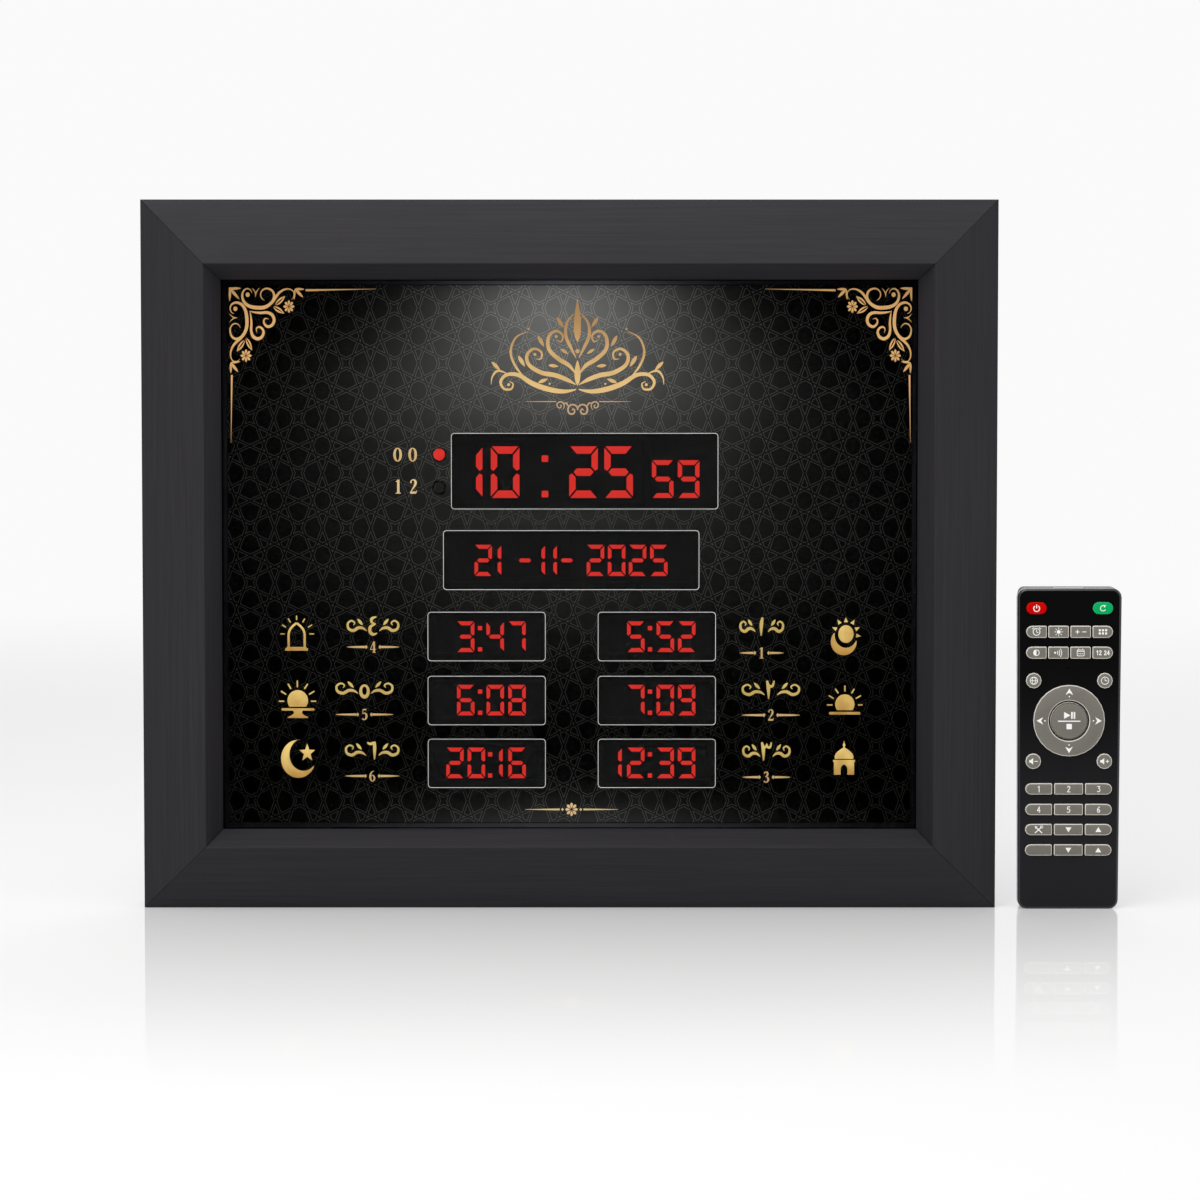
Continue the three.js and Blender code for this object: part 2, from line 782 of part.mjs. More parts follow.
function buildKeys() {
  const group = new THREE.Group();
  for (const spec of keys) {
    group.add(part(spec.name, keySolid(spec), spec.material()));
  }
  for (const spec of roundKeys) {
    group.add(part(spec.name, roundKeySolid(spec), finishes.keyGrey()));
  }
  const ring = slab(ringShape(nav.outerRadius, nav.innerRadius), navFront, navBack, roundSteps + cornerSteps);
  group.add(part('nav_ring', ring, finishes.keyGrey()));
  const padShape = ringShape(nav.padOuterRadius, nav.padInnerRadius);
  const pad = slab(padShape, padFront, padFront + nav.padDepth, roundSteps);
  group.add(part('nav_rocker_pad', pad, finishes.rubberGrey()));
  const setKey = slab(disc(0, navZ, nav.setRadius), navFront, flangeBack, roundSteps);
  group.add(part('set_key', setKey, finishes.keyGrey()));
  return group;
}

// Shells of the remote

function frontShell() {
  const outer = chamferedSlab(remoteOutline(0), remote.front, remoteSplitY + remote.split,
    remote.rimWidth, remote.rimDepth);
  const behind = slab(remoteOutline(-overrun), remoteSplitY - seatGap / 2, remoteSplitY + 2 * remote.split);
  const hollow = slab(remoteOutline(remote.wall), plateInnerY, remoteSplitY + overrun);
  const openings = keys.map(keyOpening);
  for (const spec of roundKeys) {
    openings.push(roundOpening(spec.x, spec.z, key.roundRadius + key.clearance, roundSteps / 2));
  }
  openings.push(roundOpening(0, navZ, nav.outerRadius + nav.clearance, roundSteps + cornerSteps));
  openings.push(roundOpening(0, remoteLevel(pinHoleShare), pinHoleRadius, cornerSteps));
  return part('remote_front_shell', cut(outer, behind, hollow, ...openings), finishes.remoteGloss());
}

const bayMiddleZ = bay.bottom + bayLength / 2;
const doorWidth = bayWidth + 2 * bay.ledge;
const doorLength = bayLength + 2 * bay.ledge;

// The sides draw in towards the back, and the foot stays flat to stand on
function backShell() {
  const lipFront = remoteSplitY + seatGap / 2;
  const edgeFront = remoteBack - remote.backEdge;
  const rootInset = remote.draft + remote.backEdge;
  const outer = wrapped(
    slab(remoteOutline(0), lipFront, lipFront + remote.straightLip),
    slab(remoteOutline(remote.draft, 0), edgeFront - remote.straightLip / 2, edgeFront),
    slab(remoteOutline(rootInset, remote.backEdge), remoteBack - weldReach * 10, remoteBack),
  );
  const boardRoom = slab(remoteOutline(remote.wall), remoteSplitY - overrun, bayFloorFront);
  const bayRoom = slab(remoteOutline(remote.wall + remote.draft, remote.wall), remoteSplitY, doorFront);
  const windowReach = infrared.width + 2 * infrared.clearance;
  const notch = slab(rectangle(0, remote.height, windowReach, 2 * remote.wall + overrun),
    infraredFront - infrared.clearance, infraredBack + infrared.clearance);
  const body = cut(outer, boardRoom, bayRoom, notch);
  const boxShape = rectangle(0, bayMiddleZ, bayWidth + 2 * bay.wall, bayLength + 2 * bay.wall);
  const box = slab(boxShape, bayFloorFront, remoteBack - remote.plate / 2);
  const doorGap = 2 * seatGap;
  const doorCut = slab(rectangle(0, bayMiddleZ, doorWidth + doorGap, doorLength + doorGap),
    doorFront - seatGap, remoteBack + overrun);
  const room = slab(rectangle(0, bayMiddleZ, bayWidth, bayLength), bayFloorBack, remoteBack + overrun);
  return part('remote_back_shell', cut(joined(body, box), doorCut, room), finishes.remoteMatt());
}

function buildCells() {
  const group = new THREE.Group();
  const profile = [
    [0, 0],
    [cell.radius, 0],
    [cell.radius, cell.length - cell.nubLength],
    [cell.nubRadius, cell.length - cell.nubLength],
    [cell.nubRadius, cell.length],
    [0, cell.length],
  ];
  const reach = cell.radius + cell.sideGap / 2;
  const low = bay.bottom + cell.endRoom;
  for (const [name, x, flip] of [['battery_cell_left', -reach, 1], ['battery_cell_right', reach, -1]]) {
    const body = part(name, turned(profile, roundSteps / 2), finishes.cellWrap());
    body.rotation.x = flip * quarterTurn;
    body.position.set(x, cellFront + cell.radius, flip > 0 ? low : low + cell.length);
    group.add(body);
  }
  return group;
}

function buildRemote() {
  const group = new THREE.Group();
  group.position.x = remoteX;
  group.add(frontShell(), backShell(), buildKeys(), buildCells());

  const door = slab(rectangle(0, bayMiddleZ, doorWidth, doorLength), doorFront, remoteBack);
  group.add(part('remote_battery_door', door, finishes.remoteMatt()));

  const mat = remoteOutline(remote.wall + remoteInside.sideGap);
  mat.holes.push(disc(0, navZ, nav.padOuterRadius + nav.matHoleGap));
  group.add(part('remote_keypad_mat', slab(mat, matFront, matBack, cornerSteps * 3), finishes.rubberGrey()));

  const plate = slab(remoteOutline(remote.wall + remoteInside.sideGap), remoteBoardFront, remoteBoardBack);
  group.add(part('remote_circuit_board', plate, finishes.boardGreen()));

  const lensHeight = remote.wall + infrared.inward;
  const lensShape = rectangle(0, remote.height - lensHeight / 2, infrared.width, lensHeight);
  const lens = slab(lensShape, infraredFront, infraredBack);
  group.add(part('remote_ir_window', lens, finishes.infraredPlastic()));
  return group;
}

const clock = new THREE.Group();
clock.add(buildFrame(), buildPanel(), buildDisplays(), buildElectronics());
clock.add(buildBackCover(), buildHangers());

const product = new THREE.Group();
product.add(clock, buildRemote());

export default product;
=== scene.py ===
"""Looks of an azan clock and of the remote control that stands beside it.

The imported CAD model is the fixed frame. Every new piece is in metres in that frame, sits at the
origin with its place in its mesh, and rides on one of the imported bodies. Sizes in this file are in
millimetres unless a name says otherwise. X runs to the right, Y to the back and Z up.
"""

import json
import logging
import math
from dataclasses import dataclass, field
from enum import Enum
from typing import Callable, Sequence

import bmesh
import bpy
from mathutils import Matrix, Vector

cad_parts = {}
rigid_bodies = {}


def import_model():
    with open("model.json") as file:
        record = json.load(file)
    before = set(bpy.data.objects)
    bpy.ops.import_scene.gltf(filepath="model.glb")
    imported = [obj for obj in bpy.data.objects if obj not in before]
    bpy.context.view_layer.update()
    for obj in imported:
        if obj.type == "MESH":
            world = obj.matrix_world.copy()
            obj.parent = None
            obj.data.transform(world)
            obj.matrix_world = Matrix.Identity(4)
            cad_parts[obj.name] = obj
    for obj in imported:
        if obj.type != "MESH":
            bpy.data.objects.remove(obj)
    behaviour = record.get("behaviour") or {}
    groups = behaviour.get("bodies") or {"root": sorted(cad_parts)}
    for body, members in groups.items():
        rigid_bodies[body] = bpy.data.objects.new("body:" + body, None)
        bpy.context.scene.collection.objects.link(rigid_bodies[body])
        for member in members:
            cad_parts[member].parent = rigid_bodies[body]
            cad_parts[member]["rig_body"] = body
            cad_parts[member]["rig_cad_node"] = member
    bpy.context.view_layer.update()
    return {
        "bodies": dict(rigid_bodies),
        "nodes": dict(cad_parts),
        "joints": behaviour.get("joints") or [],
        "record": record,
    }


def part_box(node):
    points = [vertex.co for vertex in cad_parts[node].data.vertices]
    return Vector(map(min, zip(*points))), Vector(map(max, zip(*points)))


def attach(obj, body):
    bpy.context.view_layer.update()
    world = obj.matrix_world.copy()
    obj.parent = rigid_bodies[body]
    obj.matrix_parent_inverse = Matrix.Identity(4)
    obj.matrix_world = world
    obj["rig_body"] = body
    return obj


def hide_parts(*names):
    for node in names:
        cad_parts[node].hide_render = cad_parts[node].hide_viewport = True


LOG = logging.getLogger("azan_clock")
MM = 0.001
SMOOTH_ANGLE = math.radians(32)
LIFT_STEP = 0.003
LIFT_LEVELS = 12
MERGE_DISTANCE = 0.002
FLAT_ANGLE = math.radians(0.6)
CUT_DISTANCE = 1e-8
PEN_WEIGHT = 1.15
FULL_ARROW = ((-0.58, -0.45), (0.58, -0.45))
NOTCHED_ARROW = ((-0.58, -0.5), (0, -0.18), (0.58, -0.5))

Point = tuple[float, float]
Station = tuple[float, float, float]
Span = tuple[float, float]
Socket = bpy.types.NodeSocket


class Slot(str, Enum):
    """Material slots of the record. Calls name one for each new piece, but it is not applied to the piece."""

    FRAME = "frame_wood"
    GOLD = "gold_print"
    LINE = "line_print"
    DISPLAY = "display_face"
    DIGIT = "digit_red"
    LAMP_RED = "lamp_red"
    LAMP_DARK = "lamp_dark"
    COVER = "cover_plastic"
    SPEAKER = "speaker_steel"
    HANGER = "hanger_steel"
    SCREW = "screw_steel"
    GLOSS = "remote_gloss"
    MATT = "remote_matt"
    KEY = "key_grey"
    KEY_RED = "key_red"
    KEY_GREEN = "key_green"
    LEGEND = "legend_white"


class Body(str, Enum):
    """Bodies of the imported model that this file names. The body of any other key has its node's name."""

    CLOCK = "clock"
    DOOR = "battery_door"
    RING = "nav_ring"
    SET = "set_key"


class Run(Enum):
    """The way that wood grain runs."""

    ACROSS = "across"
    UPRIGHT = "upright"


def linear(code: int) -> tuple[float, float, float]:
    """Turns a 0xRRGGBB screen colour into red, green and blue in linear light."""
    parts = [((code >> shift) & 255) / 255 for shift in (16, 8, 0)]
    return tuple(p / 12.92 if p <= 0.04045 else ((p + 0.055) / 1.055) ** 2.4 for p in parts)


# Node trees


class Graph:
    """Adds and links the nodes of one node tree, from left to right."""

    def __init__(self, tree: bpy.types.NodeTree) -> None:
        """Starts with the nodes that the tree already has."""
        self.tree = tree

    def node(self, kind: str, **settings: object) -> bpy.types.Node:
        """Adds a node.

        Args:
            kind: The node's type name, without its ShaderNode or Node prefix.
            settings: Properties to set on it.

        Returns:
            The new node.
        """
        prefix = "Node" if kind.startswith("Group") and kind != "Group" else "ShaderNode"
        node = self.tree.nodes.new(prefix + kind)
        for name, value in settings.items():
            setattr(node, name, value)
        return node

    def feed(self, socket: Socket, value: object) -> None:
        """Links a socket to another one, or sets it.

        Args:
            socket: The socket to feed.
            value: A socket or a plain value; a whole number on a colour socket is a screen colour.
        """
        if isinstance(value, Socket):
            self.tree.links.new(value, socket)
        elif socket.type == "RGBA" and isinstance(value, int):
            socket.default_value = (*linear(value), 1.0)
        else:
            socket.default_value = value

    def fed(self, kind: str, inputs: dict | Sequence, output: int | str = 0, **settings: object) -> Socket:
        """Adds a node and feeds its inputs.

        Args:
            kind: The node's type name, as in node.
            inputs: What its inputs get, by name or number, or in order from the first.
            output: The output that is wanted, by name or number.
            settings: Properties to set on it.

        Returns:
            The wanted output.
        """
        node = self.node(kind, **settings)
        for key, value in inputs.items() if isinstance(inputs, dict) else enumerate(inputs):
            self.feed(node.inputs[key], value)
        return node.outputs[output]

    def math(self, operation: str, *values: object, clamp: bool = False) -> Socket:
        """Adds a Math node on one to three values and returns its result."""
        return self.fed("Math", values, operation=operation, use_clamp=clamp)

    def vector(self, operation: str, *values: object, result: int = 0) -> Socket:
        """Adds a Vector Math node on one or two vectors and returns one of its results."""
        return self.fed("VectorMath", values, result, operation=operation)

    def part(self, vector: object, index: int) -> Socket:
        """Takes one part out of a vector."""
        return self.fed("SeparateXYZ", (vector,), index)

    def mix(self, share: object, low: object, high: object) -> Socket:
        """Mixes two colours and returns the mixed one."""
        return self.fed("Mix", {0: share, 6: low, 7: high}, 2, data_type="RGBA")

    def spread(self, value: object, low: Span, high: Span) -> Socket:
        """Maps a value from one range to another with a smooth step."""
        return self.fed("MapRange", (value, *low, *high), interpolation_type="SMOOTHSTEP")

    def place(self, scale: Sequence[float] = (1, 1, 1), offset: Sequence[float] = (0, 0, 0)) -> Socket:
        """Reads object coordinates, moved and then scaled, in metres.

        Args:
            scale: Factor along each axis.
            offset: What is taken away first, in millimetres.

        Returns:
            The coordinates.
        """
        source = self.fed("TexCoord", (), "Object")
        moved = self.vector("SUBTRACT", source, tuple(part * MM for part in offset))
        return self.vector("MULTIPLY", moved, tuple(scale))

    def level(self) -> Socket:
        """Gives the height above the floor, in millimetres."""
        return self.part(self.place((1 / MM, 1 / MM, 1 / MM)), 2)

    def noise(self, vector: object, scale: object, detail: float = 2.0) -> Socket:
        """Adds a noise texture and returns its value, about 0.5 on average."""
        return self.fed("TexNoise", {"Vector": vector, "Scale": scale, "Detail": detail})

    def bump(self, height: object, depth: float, strength: float = 1.0) -> Socket:
        """Turns a height between 0 and 1 into a normal; depth is in millimetres."""
        return self.fed("Bump", {"Strength": strength, "Distance": depth * MM, "Height": height})

    def blend(self, share: object, first: Socket, second: Socket) -> Socket:
        """Mixes two shaders and returns the mixed one."""
        return self.fed("MixShader", (share, first, second))


def node_group(name: str, inputs: dict[str, object], outputs: dict[str, str]) -> tuple[Graph, object, object]:
    """Starts a shader node group.

    Args:
        name: The group's name.
        inputs: Each input's name with its first value; a colour has four parts.
        outputs: Each output's name with its socket type.

    Returns:
        The group's graph, the sockets that it is given and the sockets of its result.
    """
    tree = bpy.data.node_groups.new(name, "ShaderNodeTree")
    for label, value in inputs.items():
        kind = "NodeSocketFloat" if isinstance(value, float) else "NodeSocketColor"
        tree.interface.new_socket(name=label, in_out="INPUT", socket_type=kind).default_value = value
    for label, kind in outputs.items():
        tree.interface.new_socket(name=label, in_out="OUTPUT", socket_type=kind)
    graph = Graph(tree)
    return graph, graph.node("GroupInput").outputs, graph.node("GroupOutput").inputs


def build_surface_group() -> bpy.types.NodeTree:
    """Builds the fine unevenness of moulded, painted and printed surfaces.

    Returns:
        A group that gives a colour, a roughness and a height.
    """
    inputs = {"Colour": (0.5, 0.5, 0.5, 1.0), "Grains per metre": 4000.0, "Colour spread": 0.1,
              "Roughness": 0.5, "Roughness spread": 0.1}
    outputs = {"Colour": "NodeSocketColor", "Roughness": "NodeSocketFloat", "Height": "NodeSocketFloat"}
    graph, given, result = node_group("surface_grain", inputs, outputs)
    place = graph.place()
    fine = graph.noise(place, given["Grains per metre"], 1.0)
    cloudy = graph.noise(place, 38.0, 3.0)
    blend = graph.math("ADD", graph.math("MULTIPLY", fine, 0.45), graph.math("MULTIPLY", cloudy, 0.55))
    centred = graph.math("SUBTRACT", blend, 0.5)
    swing = graph.math("MULTIPLY", centred, graph.math("MULTIPLY", given["Colour spread"], 4.0))
    inputs = {0: given["Colour"], "Scale": graph.math("ADD", swing, 1.0)}
    graph.feed(result["Colour"], graph.fed("VectorMath", inputs, operation="SCALE"))
    rough_swing = graph.math("MULTIPLY", graph.math("SUBTRACT", cloudy, 0.5), given["Roughness spread"])
    graph.feed(result["Roughness"], graph.math("ADD", given["Roughness"], rough_swing, clamp=True))
    graph.feed(result["Height"], fine)
    return graph.tree


def build_edge_group() -> bpy.types.NodeTree:
    """Builds the mask of rounded front edges, where a face turns away from the front; finishes put a painted
    highlight there, and on the remote's face also a gloss coat.

    Returns:
        A group that gives 0 on a face that looks to the front or back and 1 on a turned edge.
    """
    graph, given, result = node_group(
        "turned_edge", {"Start": 0.02, "End": 0.25}, {"Mask": "NodeSocketFloat"})
    front = graph.part(graph.fed("TexCoord", (), "Normal"), 1)
    turned = graph.math("SUBTRACT", 1.0, graph.math("ABSOLUTE", front))
    graph.feed(result["Mask"], graph.spread(turned, (given["Start"], given["End"]), (0.0, 1.0)))
    return graph.tree


@dataclass(frozen=True)
class GlowSpot:
    """One soft round light area of the print, in millimetres."""

    x: float
    z: float
    reach_x: float
    reach_z: float
    level: float


GLOW_SPOTS = (
    GlowSpot(-2.3, 199.0, 167.0, 93.2, 0.122),
    GlowSpot(-2.3, 266.8, 103.4, 36.8, 0.136),
    GlowSpot(-2.3, 314.3, 67.8, 37.5, 0.269),
    GlowSpot(-2.3, 6.0, 121.8, 42.6, 0.305),
)
SPECKLES_PER_METRE = 2600.0
SPECKLE_LEVEL = 0.003
SCREEN_GAMMA = 2.2


def build_glow_group() -> bpy.types.NodeTree:
    """Builds the grey glow of the dial's print: bright at the top, faint at the foot.

    Returns:
        A group that gives the ground's colour at a gain and over a least level.
    """
    inputs = {"Gain": 1.0, "Least": 0.02, "Warmth": 0.97}
    graph, given, result = node_group("dial_glow", inputs, {"Colour": "NodeSocketColor"})
    total = given["Least"]
    for spot in GLOW_SPOTS:
        offset = graph.place((1 / (spot.reach_x * MM), 0, 1 / (spot.reach_z * MM)), (spot.x, 0, spot.z))
        squared = graph.vector("DOT_PRODUCT", offset, offset, result=1)
        fall = graph.math("EXPONENT", graph.math("MULTIPLY", squared, -1.0))
        total = graph.math("ADD", total, graph.math("MULTIPLY", fall, spot.level))
    noise = graph.math("SUBTRACT", graph.noise(graph.place(), SPECKLES_PER_METRE), 0.5)
    speckle = graph.math("MULTIPLY", noise, SPECKLE_LEVEL)
    level = graph.math("ADD", graph.math("MULTIPLY", total, given["Gain"]), speckle)
    light = graph.math("POWER", graph.math("MAXIMUM", level, 0.0), SCREEN_GAMMA)
    parts = (light, light, graph.math("MULTIPLY", light, given["Warmth"]))
    graph.feed(result["Colour"], graph.fed("CombineColor", parts))
    return graph.tree


# Finishes


@dataclass
class Groups:
    """The node groups that several materials share."""

    surface: bpy.types.NodeTree = field(default_factory=build_surface_group)
    edge: bpy.types.NodeTree = field(default_factory=build_edge_group)
    glow: bpy.types.NodeTree = field(default_factory=build_glow_group)


class Paint(Graph):
    """The node tree of one material, with its Principled shader. Names are written with underscores."""

    def __init__(self, name: str, groups: Groups | None = None) -> None:
        """Starts the material.

        Args:
            name: The material's name.
            groups: The shared node groups, where it uses any.
        """
        self.material = bpy.data.materials.new(name)
        self.material.use_nodes = True
        super().__init__(self.material.node_tree)
        self.tree.nodes.clear()
        self.groups = groups
        self.shader = self.node("BsdfPrincipled")
        self.output = self.node("OutputMaterial")
        self.feed(self.output.inputs["Surface"], self.shader.outputs[0])

    def give(self, node: bpy.types.Node, **values: object) -> bpy.types.Node:
        """Links or sets sockets of a node by name and returns the node."""
        for name, value in values.items():
            self.feed(node.inputs[name.replace("_", " ")], value)
        return node

    def shade(self, **values: object) -> None:
        """Links or sets sockets of the shader by name."""
        self.give(self.shader, **values)

    def surface(self, colour: object, **values: float) -> bpy.types.Node:
        """Puts the surface group before the shader's colour and roughness.

        Args:
            colour: The surface's colour.
            values: The group's other inputs, by name.

        Returns:
            The group's node.
        """
        grain = self.give(self.node("Group", node_tree=self.groups.surface), Colour=colour, **values)
        self.shade(Base_Color=grain.outputs["Colour"], Roughness=grain.outputs["Roughness"])
        return grain


@dataclass(frozen=True)
class Finish:
    """The recipe of one material."""

    name: str

    def build(self, groups: Groups) -> bpy.types.Material:
        """Builds the material.

        Args:
            groups: The shared node groups.

        Returns:
            The new material.
        """
        paint = Paint(self.name, groups)
        self.apply(paint)
        return paint.material

    def apply(self, paint: Paint) -> None:
        """Adds this finish's nodes to a paint."""
        raise NotImplementedError


@dataclass(frozen=True)
class Grained(Finish):
    """A plain finish with fine grain, uneven gloss and, if wanted, a painted highlight on turned edges and a
    painted reflection towards the foot.
    """

    colour: int
    roughness: float
    grains: float = 4000.0
    spread: float = 0.08
    rough_spread: float = 0.12
    bump: float = 0.01
    metallic: float = 0.0
    specular: float = 0.5
    edge_colour: int | None = None
    edge_span: Span = (0.02, 0.3)
    edge_coat: float = 0.0
    foot_colour: int | None = None
    foot_span: Span = (25.0, 130.0)

    def apply(self, paint: Paint) -> None:
        """Adds this finish's nodes.

        Args:
            paint: The paint to add them to.
        """
        colour: object = self.colour
        # Lighter towards the foot: a painted reflection of the pale floor, mixed in by height.
        if self.foot_colour is not None:
            colour = paint.mix(paint.spread(paint.level(), self.foot_span, (1.0, 0.0)), colour,
                               self.foot_colour)
        # A lighter colour on turned edges is a painted highlight; the coat weight there is real gloss.
        if self.edge_colour is not None:
            start, end = self.edge_span
            mask = paint.fed("Group", {"Start": start, "End": end}, "Mask", node_tree=paint.groups.edge)
            colour = paint.mix(mask, colour, self.edge_colour)
            if self.edge_coat:
                weight = paint.math("MULTIPLY", mask, self.edge_coat)
                paint.shade(Coat_Weight=weight, Coat_Roughness=self.roughness)
        grain = paint.surface(colour, Grains_per_metre=self.grains, Colour_spread=self.spread,
                              Roughness=self.roughness, Roughness_spread=self.rough_spread)
        paint.shade(Normal=paint.bump(grain.outputs["Height"], self.bump), Metallic=self.metallic,
                    Specular_IOR_Level=self.specular)


@dataclass(frozen=True)
class StainedWood(Finish):
    """Charcoal stained wood with brushed grain along the rail and fine open pores."""

    run: Run
    colour: int = 0x28272A
    dark: int = 0x1E1D20
    light: int = 0x333136
    evenness: float = 0.7
    roughness: float = 0.6
    streaks_along: float = 16.0
    streaks_across: float = 1500.0

    def apply(self, paint: Paint) -> None:
        """Adds this finish's nodes.

        Args:
            paint: The paint to add them to.
        """
        along, across = self.streaks_along, self.streaks_across
        scale = (along, across, across) if self.run is Run.ACROSS else (across, across, along)
        streak = paint.noise(paint.place(scale), 1.0, 3.0)
        fine = paint.noise(paint.place([part * 2.6 for part in scale]), 1.0, 2.0)
        pores = paint.noise(paint.place([scale[0] * 1.7, scale[1] * 1.3, scale[2] * 1.7]), 1.0, 1.0)
        cloud = paint.noise(paint.place([part ** 0.5 for part in scale]), 1.0, 2.0)
        tone = paint.math("ADD", paint.math("MULTIPLY", streak, 0.88), paint.math("MULTIPLY", cloud, 0.12))
        ground = paint.mix(paint.spread(tone, (0.33, 0.68), (0.0, 1.0)), self.dark, self.light)
        even = paint.mix(self.evenness, ground, self.colour)
        pore_mask = paint.spread(pores, (0.26, 0.36), (1.0, 0.0))
        paint.surface(paint.mix(paint.math("MULTIPLY", pore_mask, 0.3), even, self.dark),
                      Grains_per_metre=5200.0, Colour_spread=0.05, Roughness=self.roughness,
                      Roughness_spread=0.14)
        height = paint.math(
            "SUBTRACT", paint.math("ADD", streak, paint.math("MULTIPLY", fine, 0.7)), pore_mask)
        paint.shade(Normal=paint.bump(height, 0.02, 0.35), Specular_IOR_Level=0.14)


@dataclass(frozen=True)
class Print(Finish):
    """The dial's printed ground, or lines that stand a little lighter on it."""

    gain: float = 1.0
    least: float = 0.0
    warmth: float = 0.97

    def apply(self, paint: Paint) -> None:
        """Adds this finish's nodes to a paint."""
        inputs = {"Gain": self.gain, "Least": self.least, "Warmth": self.warmth}
        glow = paint.fed("Group", inputs, "Colour", node_tree=paint.groups.glow)
        paint.shade(Base_Color=glow, Roughness=0.6, Specular_IOR_Level=0.0)


@dataclass(frozen=True)
class Gold(Finish):
    """Printed gold with a soft change from pale to deep down each sign."""

    pale: int
    deep: int
    row_low: float = 56.9
    row_pitch: float = 32.15

    def apply(self, paint: Paint) -> None:
        """Adds this finish's nodes to a paint."""
        rows = paint.part(paint.place((1, 1, 1 / (self.row_pitch * MM)), (0, 0, self.row_low)), 2)
        drift = paint.math("MULTIPLY", paint.noise(paint.place(), 150.0, 1.0), 0.5)
        share = paint.spread(paint.math("ADD", paint.math("FRACT", rows), drift), (0.35, 1.15), (0.0, 1.0))
        paint.surface(paint.mix(share, self.deep, self.pale), Grains_per_metre=3000.0, Colour_spread=0.07,
                      Roughness=0.5)
        paint.shade(Specular_IOR_Level=0.1)


@dataclass(frozen=True)
class Lit(Finish):
    """A lit lamp or digit, with a slightly uneven glow."""

    colour: int
    spread: float = 0.06
    unlit: int = 0x2A0B08
    strength: float = 0.76

    def apply(self, paint: Paint) -> None:
        """Adds this finish's nodes to a paint."""
        inputs = {"Colour": self.colour, "Grains per metre": 900.0, "Colour spread": self.spread}
        glow = paint.fed("Group", inputs, "Colour", node_tree=paint.groups.surface)
        paint.shade(Emission_Color=glow, Emission_Strength=self.strength, Base_Color=self.unlit,
                    Roughness=0.35, Specular_IOR_Level=0.1)


@dataclass(frozen=True)
class Pane(Finish):
    """Clear anti-glare glass that lets the lamps through to what lies behind it."""

    ior: float = 1.0

    def apply(self, paint: Paint) -> None:
        """Adds this finish's nodes to a paint."""
        haze = paint.spread(paint.noise(paint.place(), 26.0, 3.0), (0.35, 0.75), (0.0, 0.03))
        paint.shade(Roughness=haze, Base_Color=(0.985, 0.99, 0.99, 1.0), Transmission_Weight=1.0,
                    IOR=self.ior)
        shadow_ray = paint.fed("LightPath", (), "Is Shadow Ray")
        clear = paint.fed("BsdfTransparent", ())
        paint.give(paint.output, Surface=paint.blend(shadow_ray, paint.shader.outputs[0], clear))


@dataclass(frozen=True)
class CircuitBoard(Finish):
    """Solder mask with copper runs under it and pale solder points."""

    mask: int = 0x174A2C
    over_copper: int = 0x2C7446
    solder: int = 0xB5B7B2

    def apply(self, paint: Paint) -> None:
        """Adds this finish's nodes.

        Args:
            paint: The paint to add them to.
        """
        turn = {"Vector": paint.place(), "Angle": math.radians(90)}
        upright = paint.fed("VectorRotate", turn, rotation_type="X_AXIS")
        runs = paint.fed("TexBrick", {"Vector": upright, "Scale": 95.0, "Mortar Size": 0.035}, "Fac")
        points = paint.fed("TexVoronoi", {"Vector": paint.place(), "Scale": 260.0}, "Distance")
        dots = paint.spread(points, (0.12, 0.2), (1.0, 0.0))
        paint.surface(paint.mix(dots, paint.mix(runs, self.mask, self.over_copper), self.solder),
                      Roughness=0.42)
        paint.shade(Normal=paint.bump(paint.math("MAXIMUM", runs, dots), 0.06))


@dataclass(frozen=True)
class CellWrap(Finish):
    """Printed film round a dry cell, with bare steel at both ends."""

    low: float
    high: float
    band: float = 30.0
    end: float = 1.4
    film: int = 0x26333F
    upper_film: int = 0xB98B3A
    steel: int = 0xC4C4C2

    def apply(self, paint: Paint) -> None:
        """Adds this finish's nodes.

        Args:
            paint: The paint to add them to.
        """
        level = paint.level()
        seam, top, foot = self.low + self.band, self.high - self.end, self.low + self.end
        upper = paint.spread(level, (seam, seam + 0.3), (0.0, 1.0))
        above = paint.spread(level, (top, top + 0.2), (0.0, 1.0))
        below = paint.spread(level, (foot, foot + 0.2), (1.0, 0.0))
        bare = paint.math("MAXIMUM", above, below)
        paint.surface(paint.mix(bare, paint.mix(upper, self.film, self.upper_film), self.steel),
                      Roughness=0.33)
        paint.shade(Metallic=bare)


